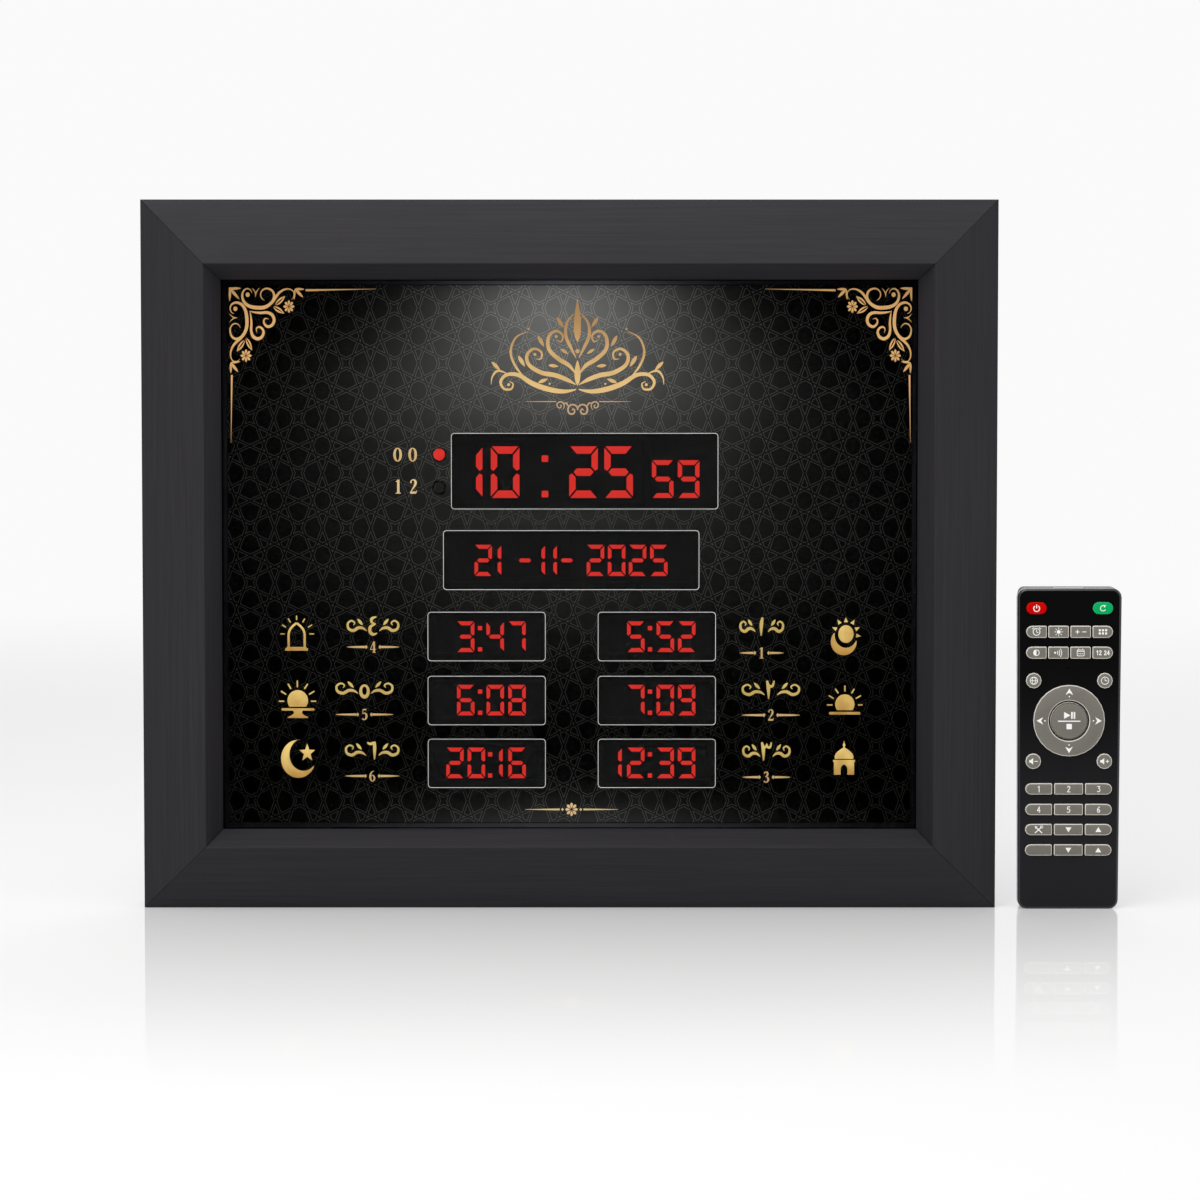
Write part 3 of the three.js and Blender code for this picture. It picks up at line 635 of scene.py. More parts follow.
def finish_list(cell_span: Span) -> dict[str, Finish]:
    """Lists every finish of the scene.

    Args:
        cell_span: Lowest and highest level of a dry cell, in millimetres.

    Returns:
        The finishes, by the names that the sub-assemblies use.
    """
    return {
        "wood_across": StainedWood("stained_wood_across", Run.ACROSS),
        "wood_upright": StainedWood("stained_wood_upright", Run.UPRIGHT),
        "glass": Pane("front_pane"),
        "dial": Print("dial_ground"),
        "lattice": Print("dial_lattice_line", 1.06, 0.124, 0.9),
        "border": Print("dial_border_strip", 0.78, 0.07, 1.2),
        "window_line": Grained("window_line", 0xC0BFBD, 0.6, spread=0.1, specular=0.1, bump=0.0),
        "gold": Gold("gold_sign", 0xBAA05F, 0x89652D),
        "label_gold": Gold("gold_label", 0xA79155, 0x7C5E2F),
        "ornament_gold": Grained("gold_ornament", 0xB08856, 0.5, 2500.0, spread=0.12, specular=0.1, bump=0.0),
        "palmette_gold": Gold("gold_palmette", 0x8D6C42, 0xB19361, 256.0, 50.0),
        "rule_gold": Grained("gold_rule", 0x9B8162, 0.5, 2500.0, spread=0.12, specular=0.1, bump=0.0),
        "text_gold": Gold("gold_figure", 0xB1976E, 0x9D8055),
        "display": Grained("display_black", 0x0C0C0C, 0.5, 3000.0, specular=0.02),
        # This black draws the dial's seams and the painted shadow of the frame's lip.
        "mask": Grained("seam_and_painted_shadow_black", 0x040404, 0.6, 3000.0, specular=0.01),
        "digit": Lit("digit_glow", 0xE32A22),
        "lamp_red": Lit("lamp_glow", 0xE52C24, 0.1),
        "lamp_dark": Grained("lamp_off", 0x080808, 0.3, specular=0.08),
        "board": CircuitBoard("circuit_board_green"),
        # The lighter edge colours of the cover, the remote's shells and the keys are painted highlights on
        # their rounded edges.
        "cover": Grained("cover_moulded", 0x1C1C1E, 0.62, 2200.0, bump=0.05, edge_colour=0x2B2B2E),
        "cone": Grained("speaker_cone", 0x1A1A1B, 0.85, 2600.0, spread=0.16, bump=0.06),
        "jack": Grained("jack_moulded", 0x101011, 0.45),
        "hanger": Grained("plated_steel", 0xB4B7BB, 0.34, 1400.0, metallic=0.9, rough_spread=0.25),
        "screw": Grained("screw_steel_plated", 0x8E9095, 0.36, 1800.0, metallic=0.9),
        # The remote's face turns lighter towards its foot: a painted reflection of the floor.
        "gloss": Grained("remote_face", 0x09090A, 0.3, 900.0, specular=0.02, rough_spread=0.06, bump=0.002,
                         edge_colour=0x1C1E20, edge_span=(0.01, 0.08), edge_coat=0.95, foot_colour=0x242426),
        "matt": Grained("remote_shell", 0x161618, 0.55, 2600.0, bump=0.03, edge_colour=0x222326),
        "key": Grained("key_rubber_grey", 0x716E66, 0.55, 2800.0, spread=0.12, bump=0.01, specular=0.2,
                       edge_colour=0xE2DCD2, edge_span=(0.004, 0.06)),
        "key_red": Grained("key_rubber_red", 0xC60502, 0.5, 2800.0, spread=0.08, specular=0.02,
                           edge_colour=0xC02018),
        "key_green": Grained("key_rubber_green", 0x06A65A, 0.5, 2800.0, spread=0.08, specular=0.05,
                             edge_colour=0x35B080),
        "legend": Grained("legend_print", 0xF4F2EF, 0.5, spread=0.03, specular=0.15, bump=0.0),
        "rubber": Grained("rubber_seat_grey", 0x3B3B3D, 0.8, 2400.0, bump=0.04),
        "infrared": Grained("infrared_window", 0x16070B, 0.12, 900.0, rough_spread=0.05),
        "cell": CellWrap("cell_film", *cell_span),
    }


Finishes = dict[str, bpy.types.Material]


def build_finishes(cell_span: Span) -> Finishes:
    """Builds the shared groups and returns every material, by the name of its finish."""
    groups = Groups()
    return {key: recipe.build(groups) for key, recipe in finish_list(cell_span).items()}


# Meshes


def linked(name: str, data: bpy.types.ID) -> bpy.types.Object:
    """Adds an object with its data to the scene and returns it."""
    made = bpy.data.objects.new(name, data)
    bpy.context.scene.collection.objects.link(made)
    return made


def mesh_object(bm: bmesh.types.BMesh, name: str, material: bpy.types.Material) -> bpy.types.Object:
    """Makes an object of a finished mesh.

    Args:
        bm: The mesh, in metres; it is freed.
        name: The object's name.
        material: Its material.

    Returns:
        The new object.
    """
    mesh = bpy.data.meshes.new(name)
    bm.to_mesh(mesh)
    bm.free()
    mesh.materials.append(material)
    return linked(name, mesh)


def dressed(
    bm: bmesh.types.BMesh, name: str, material: bpy.types.Material, slot: Slot, body: str = Body.CLOCK.value
) -> bpy.types.Object:
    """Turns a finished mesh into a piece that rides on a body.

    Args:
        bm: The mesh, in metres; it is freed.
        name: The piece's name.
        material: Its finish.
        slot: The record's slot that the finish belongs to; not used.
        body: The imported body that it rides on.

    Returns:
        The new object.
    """
    bmesh.ops.recalc_face_normals(bm, faces=bm.faces)
    for face in bm.faces:
        face.smooth = True
    for edge in bm.edges:
        edge.smooth = edge.is_manifold and edge.calc_face_angle(0.0) < SMOOTH_ANGLE
    piece = mesh_object(bm, name, material)
    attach(piece, body)
    LOG.info("piece %s: %d faces on %s", name, len(piece.data.polygons), body)
    return piece


def added_verts(made: dict) -> list[bmesh.types.BMVert]:
    """Picks the vertices out of what an operator made."""
    return [part for part in made["geom"] if isinstance(part, bmesh.types.BMVert)]


def thicken(bm: bmesh.types.BMesh, depth: float) -> None:
    """Gives flat faces a thickness towards the back."""
    made = bmesh.ops.extrude_face_region(bm, geom=bm.faces[:], use_keep_orig=True)
    bmesh.ops.translate(bm, vec=(0, depth * MM, 0), verts=added_verts(made))


def hollow(bm: bmesh.types.BMesh, faces: list[bmesh.types.BMFace], width: float) -> None:
    """Leaves only a rim of even width of some faces."""
    bmesh.ops.inset_individual(bm, faces=faces, thickness=width * MM, use_even_offset=True)
    bmesh.ops.delete(bm, geom=faces, context="FACES_ONLY")


def smooth_path(points: Sequence[Sequence[float]], steps: int) -> list[tuple[float, ...]]:
    """Runs a Catmull-Rom curve through points.

    Args:
        points: Stations, each with any number of parts, such as x, z and width.
        steps: Stations to make between two given ones.

    Returns:
        The denser list, which starts and ends on the given ends.
    """
    path = []
    last = len(points) - 1
    for i in range(last):
        four = [points[max(i - 1, 0)], points[i], points[i + 1], points[min(i + 2, last)]]
        for t in (step / steps for step in range(steps)):
            path.append(tuple(
                0.5 * (2 * b + (c - a) * t + (2 * a - 5 * b + 4 * c - d) * t * t
                       + (3 * b - a - 3 * c + d) * t * t * t)
                for a, b, c, d in zip(*four)
            ))
    path.append(tuple(points[last]))
    return path


def arc(
    x: float, z: float, radius_x: float, radius_z: float, start: float, end: float, steps: int
) -> list[Point]:
    """Gives points on an ellipse from one angle to another, in degrees."""
    turns = [math.radians(start + (end - start) * i / steps) for i in range(steps + 1)]
    return [(x + radius_x * math.cos(turn), z + radius_z * math.sin(turn)) for turn in turns]


def corner_points(x: float, z: float, reach: float, rise: float) -> list[Point]:
    """Gives the corners of a box from its middle and half sizes."""
    return [(x + dx * reach, z + dz * rise) for dx, dz in ((1, 1), (-1, 1), (-1, -1), (1, -1))]


def rounded_box(
    x: float, z: float, width: float, height: float, radius: float, steps: int = 5
) -> list[Point]:
    """Gives the outline of a box with round corners.

    Args:
        x: Its middle, across.
        z: Its middle, up.
        width: Its width.
        height: Its height.
        radius: Radius of its corners.
        steps: Steps in each corner.

    Returns:
        The points.
    """
    reach, rise = width / 2 - radius, height / 2 - radius
    corners = ((reach, rise, 0), (-reach, rise, 90), (-reach, -rise, 180), (reach, -rise, 270))
    return [point for dx, dz, turn in corners
            for point in arc(x + dx, z + dz, radius, radius, turn, turn + 90, steps)]


def turned(points: Sequence[Point], degrees: float) -> list[Point]:
    """Turns points about the origin."""
    c, s = math.cos(math.radians(degrees)), math.sin(math.radians(degrees))
    return [(x * c - z * s, x * s + z * c) for x, z in points]


class Inlay:
    """Print or markings on a plane that looks to the front: flat shapes with a small thickness."""

    def __init__(self, front: float, back: float, scale: float = 1.0, origin: Point = (0.0, 0.0)) -> None:
        """Sets the planes.

        Args:
            front: Y of the front face.
            back: Y of the face that lies on what carries it.
            scale: Millimetres to one drawing unit.
            origin: Where the drawing's origin lies.
        """
        self.front, self.back, self.scale, self.origin = front, back, scale, origin
        self.bm = bmesh.new()
        self.count = 0

    def _co(self, x: float, z: float) -> Vector:
        """Gives the place of a drawing point. Overlapping shapes lie a few microns apart."""
        lift = LIFT_STEP * (self.count % LIFT_LEVELS)
        left, low = self.origin
        return Vector((left + x * self.scale, self.front - lift, low + z * self.scale)) * MM

    def area(self, outline: Sequence[Point]) -> bmesh.types.BMFace:
        """Fills an outline and returns its face."""
        self.count += 1
        return self.bm.faces.new([self.bm.verts.new(self._co(x, z)) for x, z in outline])

    def ring(self, outline: Sequence[Point], width: float) -> None:
        """Draws a closed line of even width just inside an outline."""
        face = self.area(outline)
        self.bm.normal_update()
        hollow(self.bm, [face], width * self.scale)

    def stroke(self, stations: Sequence[Sequence[float]], steps: int = 6, closed: bool = False) -> None:
        """Draws a pen stroke that swells and thins.

        Args:
            stations: Points of the stroke, each x, z and width.
            steps: Stations between two given ones.
            closed: Whether the stroke returns to its start.
        """
        self.count += 1
        path = smooth_path(stations, steps) if steps > 1 else list(stations)
        last = len(path) - 1
        edge = first = pair = None
        for i, (x, z, width) in enumerate(path):
            before, after = path[max(i - 1, 0)], path[min(i + 1, last)]
            if closed and i in (0, last):
                before, after = path[last - 1], path[1]
            run = Vector((after[0] - before[0], after[1] - before[1])).normalized()
            side = Vector((-run.y, run.x)) * (max(width, 0.02) / 2)
            ends = [self._co(x + side.x, z + side.y), self._co(x - side.x, z - side.y)]
            if edge is None:
                first = pair = [self.bm.verts.new(end) for end in ends]
                edge = self.bm.edges.new(pair)
                continue
            made = bmesh.ops.extrude_edge_only(self.bm, edges=[edge])["geom"]
            edge = next(part for part in made if isinstance(part, bmesh.types.BMEdge)
                        and not set(part.verts) & set(pair))
            pair = [next(link.other_vert(old) for link in old.link_edges
                         if link.other_vert(old) in edge.verts) for old in pair]
            for vert, end in zip(pair, ends):
                vert.co = end
        if closed:
            bmesh.ops.weld_verts(self.bm, targetmap=dict(zip(pair, first)))

    def pen(self, points: Sequence[Point], width: float) -> None:
        """Draws a curved line of even width through close points."""
        self.stroke([(x, z, width) for x, z in points], 1)

    def bar(self, x0: float, z0: float, x1: float, z1: float, width: float) -> None:
        """Draws a straight bar with round ends."""
        turn = math.degrees(math.atan2(z1 - z0, x1 - x0))
        half = width / 2
        end = arc(x1, z1, half, half, turn - 90, turn + 90, 6)
        self.area(end + arc(x0, z0, half, half, turn + 90, turn + 270, 6))

    def line(self, points: Sequence[Point], width: float) -> None:
        """Draws bars from point to point."""
        for start, end in zip(points, points[1:]):
            self.bar(*start, *end, width)

    def box(self, *measures: float) -> None:
        """Draws a filled box with round corners, with the measures that rounded_box takes."""
        self.area(rounded_box(*measures))

    def dot(
        self, x: float, z: float, radius_x: float, radius_z: float | None = None, steps: int = 20
    ) -> None:
        """Draws a filled ellipse."""
        radius_z = radius_x if radius_z is None else radius_z
        self.area(arc(x, z, radius_x, radius_z, 0, 360 - 360 / steps, steps - 1))

    def loop(self, x: float, z: float, radius_x: float, radius_z: float, width: float) -> None:
        """Draws the line of an ellipse."""
        self.ring(arc(x, z, radius_x, radius_z, 0, 345, 23), width)

    def arrow(self, x: float, z: float, turn: float, size: float, foot: Sequence[Point] = FULL_ARROW) -> None:
        """Draws an arrow head that points up at a turn of 0, above a foot of one height."""
        points = turned([(px * size, pz * size) for px, pz in ((0, 0.5), *foot)], turn)
        self.area([(x + px, z + pz) for px, pz in points])

    def figures(self, text: str, x: float = 0.0) -> None:
        """Draws plain figures about a middle.

        Args:
            text: The figures.
            x: Their middle, across.
        """
        height = 2.9 if len(text) == 1 else 2.1
        start = x - 0.3 * height - (len(text) - 1) * 0.36 * height
        for i, figure in enumerate(text):
            left = start + i * 0.72 * height
            points = PLAIN_FIGURES[figure]
            self.line([(left + px / 100 * height, (pz / 100 - 0.5) * height) for px, pz in points], 0.4)

    def leaf(self, x0: float, z0: float, x1: float, z1: float, width: float, swell: float = 0.5) -> None:
        """Draws a pointed leaf from its stem to its tip.

        Args:
            x0: Stem, across.
            z0: Stem, up.
            x1: Tip, across.
            z1: Tip, up.
            width: Its widest part.
            swell: Where that part lies between stem and tip.
        """
        bend = math.log(0.5) / math.log(swell)
        self.stroke([
            (x0 + (x1 - x0) * share, z0 + (z1 - z0) * share, width * math.sin(math.pi * share ** bend) ** 0.8)
            for share in (0.0, 0.12, 0.28, 0.45, 0.62, 0.8, 0.92, 1.0)
        ], 3)

    def flower(self, x: float, z: float, root: float, reach: Point, width: float, swell: float) -> None:
        """Draws eight leaves round a middle, each from its root to its reach."""
        for i in range(8):
            c, s = math.cos(math.radians(45 * i)), math.sin(math.radians(45 * i))
            self.leaf(x + root * c, z + root * s, x + reach[0] * c, z + reach[1] * s, width, swell)

    def draw(self, shapes: Sequence[tuple]) -> None:
        """Draws several shapes.

        Args:
            shapes: For each, the name of its kind and what that kind takes.
        """
        kinds = {"area": self.area, "ring": self.ring, "pen": self.pen, "bar": self.bar,
                 "line": self.line, "box": self.box, "dot": self.dot, "loop": self.loop,
                 "arrow": self.arrow, "figures": self.figures}
        for kind, *measures in shapes:
            kinds[kind](*measures)

    def copy(self, matrix: Matrix) -> None:
        """Adds a moved, turned or mirrored copy of all that is drawn so far."""
        made = bmesh.ops.duplicate(self.bm, geom=self.bm.verts[:] + self.bm.edges[:] + self.bm.faces[:])
        bmesh.ops.transform(self.bm, matrix=matrix, verts=added_verts(made))

    def mirror(self, x: float) -> None:
        """Adds a copy that is mirrored about an upright line."""
        self.copy(Matrix.Translation((2 * x * MM, 0, 0)) @ Matrix.Diagonal((-1, 1, 1, 1)))

    def finish(
        self, name: str, material: bpy.types.Material, slot: Slot, body: str = Body.CLOCK.value
    ) -> bpy.types.Object:
        """Gives the shapes their thickness and returns them as one piece that rides on a body."""
        thicken(self.bm, self.back - self.front)
        return dressed(self.bm, name, material, slot, body)


# Figures, in hundredths of their height; a stroke is a list of x, z and, for a pen that swells, width


def round_stroke(
    x: float, z: float, reach: Point, pen: Callable[[float], float], start: float, count: int
) -> list[Station]:
    """Gives a closed round stroke with half sizes and a pen that changes with the turn."""
    turns = [start + i * 2 * math.pi / count for i in range(count + 1)]
    return [(x + reach[0] * math.cos(t), z + reach[1] * math.sin(t), pen(t)) for t in turns]


SERIF_FIGURES: dict[str, list[list[Station]]] = {
    "0": [round_stroke(30, 50, (21.5, 45), lambda t: 5 + 10 * abs(math.cos(t)), 0.0, 16)],
    "1": [[(30, 2, 14), (30, 97, 14)], [(33, 95, 5), (22, 87, 6), (12, 84, 3)], [(12, 3, 5), (48, 3, 5)]],
    "2": [[(13, 74, 10), (15, 88, 7), (28, 97, 6), (42, 90, 12), (46, 74, 14), (40, 56, 12), (26, 33, 7),
           (10, 8, 5)], [(8, 7, 13), (47, 7, 13)], [(47, 5, 9), (51, 12, 5), (54, 23, 2)]],
    "3": [[(12, 82, 10), (20, 94, 6), (35, 94, 10), (42, 77, 14), (33, 59, 8), (20, 54, 4)],
          [(20, 54, 4), (37, 50, 8), (47, 31, 15), (40, 10, 10), (24, 3, 6), (10, 15, 11)]],
    "4": [[(37, 97, 8), (22, 64, 5), (6, 30, 4)], [(4, 28, 6), (55, 28, 6)], [(39, 97, 13), (39, 2, 13)],
          [(25, 2, 5), (53, 2, 5)]],
    "5": [[(15, 92, 10), (46, 94, 10)], [(16, 93, 4), (13, 55, 4)],
          [(13, 56, 4), (28, 63, 7), (44, 51, 13), (47, 30, 15), (38, 10, 10), (22, 3, 6), (10, 14, 11)]],
    "6": [[(45, 93, 3), (28, 86, 7), (14, 62, 13), (12, 36, 15), (20, 10, 10), (32, 3, 6), (46, 14, 11),
           (49, 32, 14), (42, 50, 9), (30, 56, 5), (16, 44, 4)]],
}

EASTERN_FIGURES: dict[str, list[list[Station]]] = {
    "1": [[(34, 98, 9), (28, 60, 16), (27, 2, 5)]],
    "2": [[(10, 98, 8), (17, 60, 16), (18, 2, 5)], [(11, 90, 5), (20, 72, 11), (38, 70, 12), (47, 98, 5)]],
    "3": [[(6, 98, 8), (14, 60, 16), (15, 2, 5)], [(7, 92, 4), (14, 74, 10), (27, 74, 10), (32, 92, 4)],
          [(31, 92, 4), (37, 73, 10), (50, 73, 10), (56, 98, 5)]],
    "4": [[(48, 98, 5), (24, 88, 13), (24, 68, 10), (44, 60, 6)],
          [(44, 60, 6), (17, 46, 13), (14, 20, 14), (30, 5, 13), (52, 12, 4)]],
    "5": [round_stroke(30, 36, (20, 30), lambda t: 13 - 3 * math.sin(t), math.pi / 2, 14)],
    "6": [[(4, 92, 5), (20, 84, 12), (40, 90, 12)], [(42, 96, 10), (43, 60, 15), (42, 2, 5)]],
}

PLAIN_FIGURES: dict[str, list[Point]] = {
    "1": [(18, 80), (36, 100), (36, 0)],
    "2": [(8, 78), (20, 97), (45, 95), (52, 70), (30, 36), (8, 0), (56, 0)],
    "3": [(8, 95), (52, 95), (30, 60), (50, 50), (54, 25), (36, 2), (8, 10)],
    "4": [(42, 0), (42, 100), (6, 30), (58, 30)],
    "5": [(52, 97), (14, 97), (10, 58), (34, 62), (54, 42), (48, 10), (24, 0), (6, 10)],
    "6": [(48, 98), (20, 72), (8, 36), (18, 5), (42, 3), (54, 26), (42, 52), (12, 42)],
}
ROUND_STATIONS = 12


def write_figures(
    inlay: Inlay, style: dict, text: str, middle: float, low: float, height: float, pitch: float = 1.0
) -> None:
    """Draws a row of pen figures.

    Args:
        inlay: Where to draw.
        style: The figures' strokes.
        text: The figures to draw.
        middle: Middle of the row, across.
        low: Its foot.
        height: Height of a figure.
        pitch: Distance from one figure to the next, in heights.
    """
    start = middle - (len(text) - 1) * pitch * height / 2 - 0.3 * height
    unit, pen = height / 100, PEN_WEIGHT * height / 100
    for i, figure in enumerate(text):
        left = start + i * pitch * height
        for stroke in style[figure]:
            stations = [(left + x * unit, low + z * unit, width * pen) for x, z, width in stroke]
            inlay.stroke(stations, 4, len(stroke) > ROUND_STATIONS)


# Assemblies


@dataclass(frozen=True)
class Rounding:
    """Rounds the edges of a copied node that pass a test on the middle of the edge, in millimetres."""

    radius: float
    wanted: Callable[[Vector], bool]
    steps: int = 3
    least_angle: float = 12.0

    def apply(self, bm: bmesh.types.BMesh) -> None:
        """Rounds the wanted edges.

        Args:
            bm: The mesh, in metres.
        """
        edges = [
            edge for edge in bm.edges
            if edge.is_manifold
            and edge.calc_face_angle(0.0) > math.radians(self.least_angle)
            and self.wanted((edge.verts[0].co + edge.verts[1].co) * (0.5 / MM))
        ]
        bmesh.ops.bevel(
            bm, geom=edges, offset=self.radius * MM, offset_type="OFFSET", segments=self.steps,
            profile=0.5, affect="EDGES", clamp_overlap=True, material=-1,
        )


@dataclass
class Assembly:
    """A sub-assembly of the product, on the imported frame."""

    frame: dict
    finishes: Finishes

    def dress(self, given: dict[str, str]) -> None:
        """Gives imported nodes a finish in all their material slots.

        Args:
            given: The name of a finish for each node's name.
        """
        for name, finish in given.items():
            node = self.frame["nodes"][name]
            if not node.material_slots:
                node.data.materials.append(self.finishes[finish])
            for slot in node.material_slots:
                slot.material = self.finishes[finish]

    def soften(self, node_name: str, name: str, finish: str, slot: Slot, *roundings: Rounding) -> None:
        """Replaces a CAD node by a merged copy with rounded edges.

        Args:
            node_name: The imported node.
            name: The new piece's name.
            finish: The name of its finish.
            slot: The record's slot.
            roundings: What to round, in order.
        """
        node = self.frame["nodes"][node_name]
        bm = bmesh.new()
        bm.from_mesh(node.data)
        bmesh.ops.remove_doubles(bm, verts=bm.verts, dist=MERGE_DISTANCE * MM)
        bmesh.ops.dissolve_limit(bm, angle_limit=FLAT_ANGLE, verts=bm.verts, edges=bm.edges)
        for rounding in roundings:
            rounding.apply(bm)
        piece = dressed(bm, name, self.finishes[finish], slot, node["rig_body"])
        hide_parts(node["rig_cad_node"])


# Lattice of the dial


@dataclass(frozen=True)
class Window:
    """A window of the dial with the display behind it."""

    node: str
    x: float
    z: float
    width: float
    height: float
    radius: float = 1.5


@dataclass(frozen=True)
class StarLattice:
    """A traditional net of eight-pointed stars in double lines, drawn out a little in height.

    One square cell has a star in its middle, half stars on its sides and a small cross at its corners.
    """

    left: float = -124.45
    low: float = 205.86
    pitch_x: float = 24.28
    pitch_z: float = 27.62
    gap: float = 0.5
    line: float = 0.19
    front: float = -1.43
    back: float = -1.39

    def cell(self) -> list[list[Point]]:
        """Lays out one cell.

        Returns:
            The outlines of its faces, with the star's middle as origin and side 1.
        """
        k = (math.sqrt(2) - 1) / 2
        tip = (0.25, k / 2)
        knee = 0.5 * math.sqrt(0.5)
        corner = k * math.sqrt(0.5)
        faces = [[(k * math.cos(i * math.pi / 4), k * math.sin(i * math.pi / 4)) for i in range(8)]]
        for i in range(8):
            faces.append(turned([(k, 0), tip, (corner, corner)], 45 * i))
            faces.append(turned([(0.5, 0), tip, (k, 0), (tip[0], -tip[1])], 45 * i))
        hexagon = [(0.5, 0), (0.75, tip[1]), (1 - knee, knee), (0.5, 2 * k), (knee, knee), tip]
        upright = turned(hexagon, 90)
        faces += [hexagon, [(x, -z) for x, z in reversed(hexagon)]]
        faces += [upright, [(-x, z) for x, z in reversed(upright)]]
        u = 0.5 - 2 * k
        faces.append([(knee, knee), (0.5, 0.5 - u), (1 - knee, knee), (0.5 + u, 0.5), (1 - knee, 1 - knee),
                      (0.5, 0.5 + u), (knee, 1 - knee), (0.5 - u, 0.5)])
        return faces

    def build(
        self, field_x: Span, field_z: Span, windows: Sequence[Window], material: bpy.types.Material
    ) -> None:
        """Draws the net over the dial and leaves its windows out.

        Args:
            field_x: Left and right end of the field.
            field_z: Its foot and top.
            windows: The dial's windows.
            material: The finish.
        """
        bm = bmesh.new()
        faces = []
        columns, rows = (
            range(math.floor((ends[0] - start) / pitch) - 1, math.ceil((ends[1] - start) / pitch) + 1)
            for ends, start, pitch in ((field_x, self.left, self.pitch_x), (field_z, self.low, self.pitch_z))
        )
        outlines = self.cell()
        for column in columns:
            for row in rows:
                for outline in outlines:
                    verts = [bm.verts.new(((self.left + (column + x) * self.pitch_x) * MM, self.front * MM,
                                           (self.low + (row + z) * self.pitch_z) * MM)) for x, z in outline]
                    faces.append(bm.faces.new(verts))
        bm.normal_update()
        outer = bmesh.ops.inset_individual(
            bm, faces=faces, thickness=self.gap * MM, use_even_offset=True)["faces"]
        bmesh.ops.delete(bm, geom=outer, context="FACES")
        hollow(bm, bm.faces[:], self.line)
        for axis, ends in ((0, field_x), (2, field_z)):
            for end, side in zip(ends, (-1, 1)):
                normal = [side if part == axis else 0 for part in range(3)]
                bmesh.ops.bisect_plane(
                    bm, geom=bm.verts[:] + bm.edges[:] + bm.faces[:], dist=CUT_DISTANCE,
                    plane_co=[abs(part) * end * MM for part in normal], plane_no=normal, clear_outer=True,
                )
        for window in windows:
            self._open(bm, window)
        thicken(bm, self.back - self.front)
        dressed(bm, "dial_star_lattice", material, Slot.LINE)

    @staticmethod
    def _open(bm: bmesh.types.BMesh, window: Window) -> None:
        """Takes the net away inside a window.

        Args:
            bm: The net.
            window: What to leave open.
        """
        left, right = (window.x - window.width / 2) * MM, (window.x + window.width / 2) * MM
        low, high = (window.z - window.height / 2) * MM, (window.z + window.height / 2) * MM

        def near(face: bmesh.types.BMFace) -> bool:
            """Tells whether a face reaches into the window's box."""
            xs, zs = [vert.co.x for vert in face.verts], [vert.co.z for vert in face.verts]
            return max(xs) > left and min(xs) < right and max(zs) > low and min(zs) < high

        for point, normal in (((left, 0, 0), (1, 0, 0)), ((right, 0, 0), (1, 0, 0)),
                              ((0, 0, low), (0, 0, 1)), ((0, 0, high), (0, 0, 1))):
            faces = [face for face in bm.faces if near(face)]
            edges = list({edge for face in faces for edge in face.edges})
            verts = list({vert for face in faces for vert in face.verts})
            geom = verts + edges + faces
            bmesh.ops.bisect_plane(bm, geom=geom, dist=CUT_DISTANCE, plane_co=point, plane_no=normal)
        inside = [face for face in bm.faces
                  if left < face.calc_center_median().x < right and low < face.calc_center_median().z < high]
        bmesh.ops.delete(bm, geom=inside, context="FACES")


# Digits of the displays


@dataclass(frozen=True)
class DigitStyle:
    """The shape of the seven bars of one digit."""

    width: float
    height: float
    thickness: float
    upright: float
    gap: float
    waist: float = 0.7

    def bars(self) -> dict[str, list[Point]]:
        """Lays out the bars, with mitred ends and thin gaps.

        Returns:
            The outline of each bar, from the box's lower left corner.
        """
        w, h, t, u, g = self.width, self.height, self.thickness, self.upright, self.gap
        middle, half = h / 2, t / 2
        waist = middle + self.waist
        side = [(0, h - g * 1.3), (u, h - t - g * 1.3), (u, middle + half + g * 1.5), (0.45 * u, waist),
                (0, waist + 0.25 * u)]
        top = [(g, h), (w - g, h), (w - u - g, h - t), (u + g, h - t)]
        return {
            "a": top,
            "b": [(w - x, z) for x, z in side],
            "c": [(w - x, h - z) for x, z in side],
            "d": [(x, h - z) for x, z in top],
            "e": [(x, h - z) for x, z in side],
            "f": side,
            "g": [(0.5 * u + g, middle), (u + g, middle + half), (w - u - g, middle + half),
                  (w - 0.5 * u - g, middle), (w - u - g, middle - half), (u + g, middle - half)],
        }


BAR_CODES = {"0": "abcdef", "1": "bc", "2": "abged", "3": "abgcd", "4": "fgbc", "5": "afgcd", "6": "afgedc",
             "7": "abc", "9": "abcdfg", "8": "abcdefg", "-": "g"}


@dataclass(frozen=True)
class Readout:
    """One row of digits, placed by the left side of each digit's box, and its colon's square dots."""

    name: str
    low: float
    style: DigitStyle
    digits: str
    lefts: tuple[float, ...]
    dots: tuple[Station, ...] = ()

    def draw(self, inlay: Inlay) -> None:
        """Draws the lit bars and dots.

        Args:
            inlay: Where to draw.
        """
        bars = self.style.bars()
        for code, left in zip(self.digits, self.lefts):
            for bar in BAR_CODES[code]:
                inlay.area([(left + x, self.low + z) for x, z in bars[bar]])
        for left, low, size in self.dots:
            inlay.box(left + size / 2, low + size / 2, size, size, size * 0.12, 2)


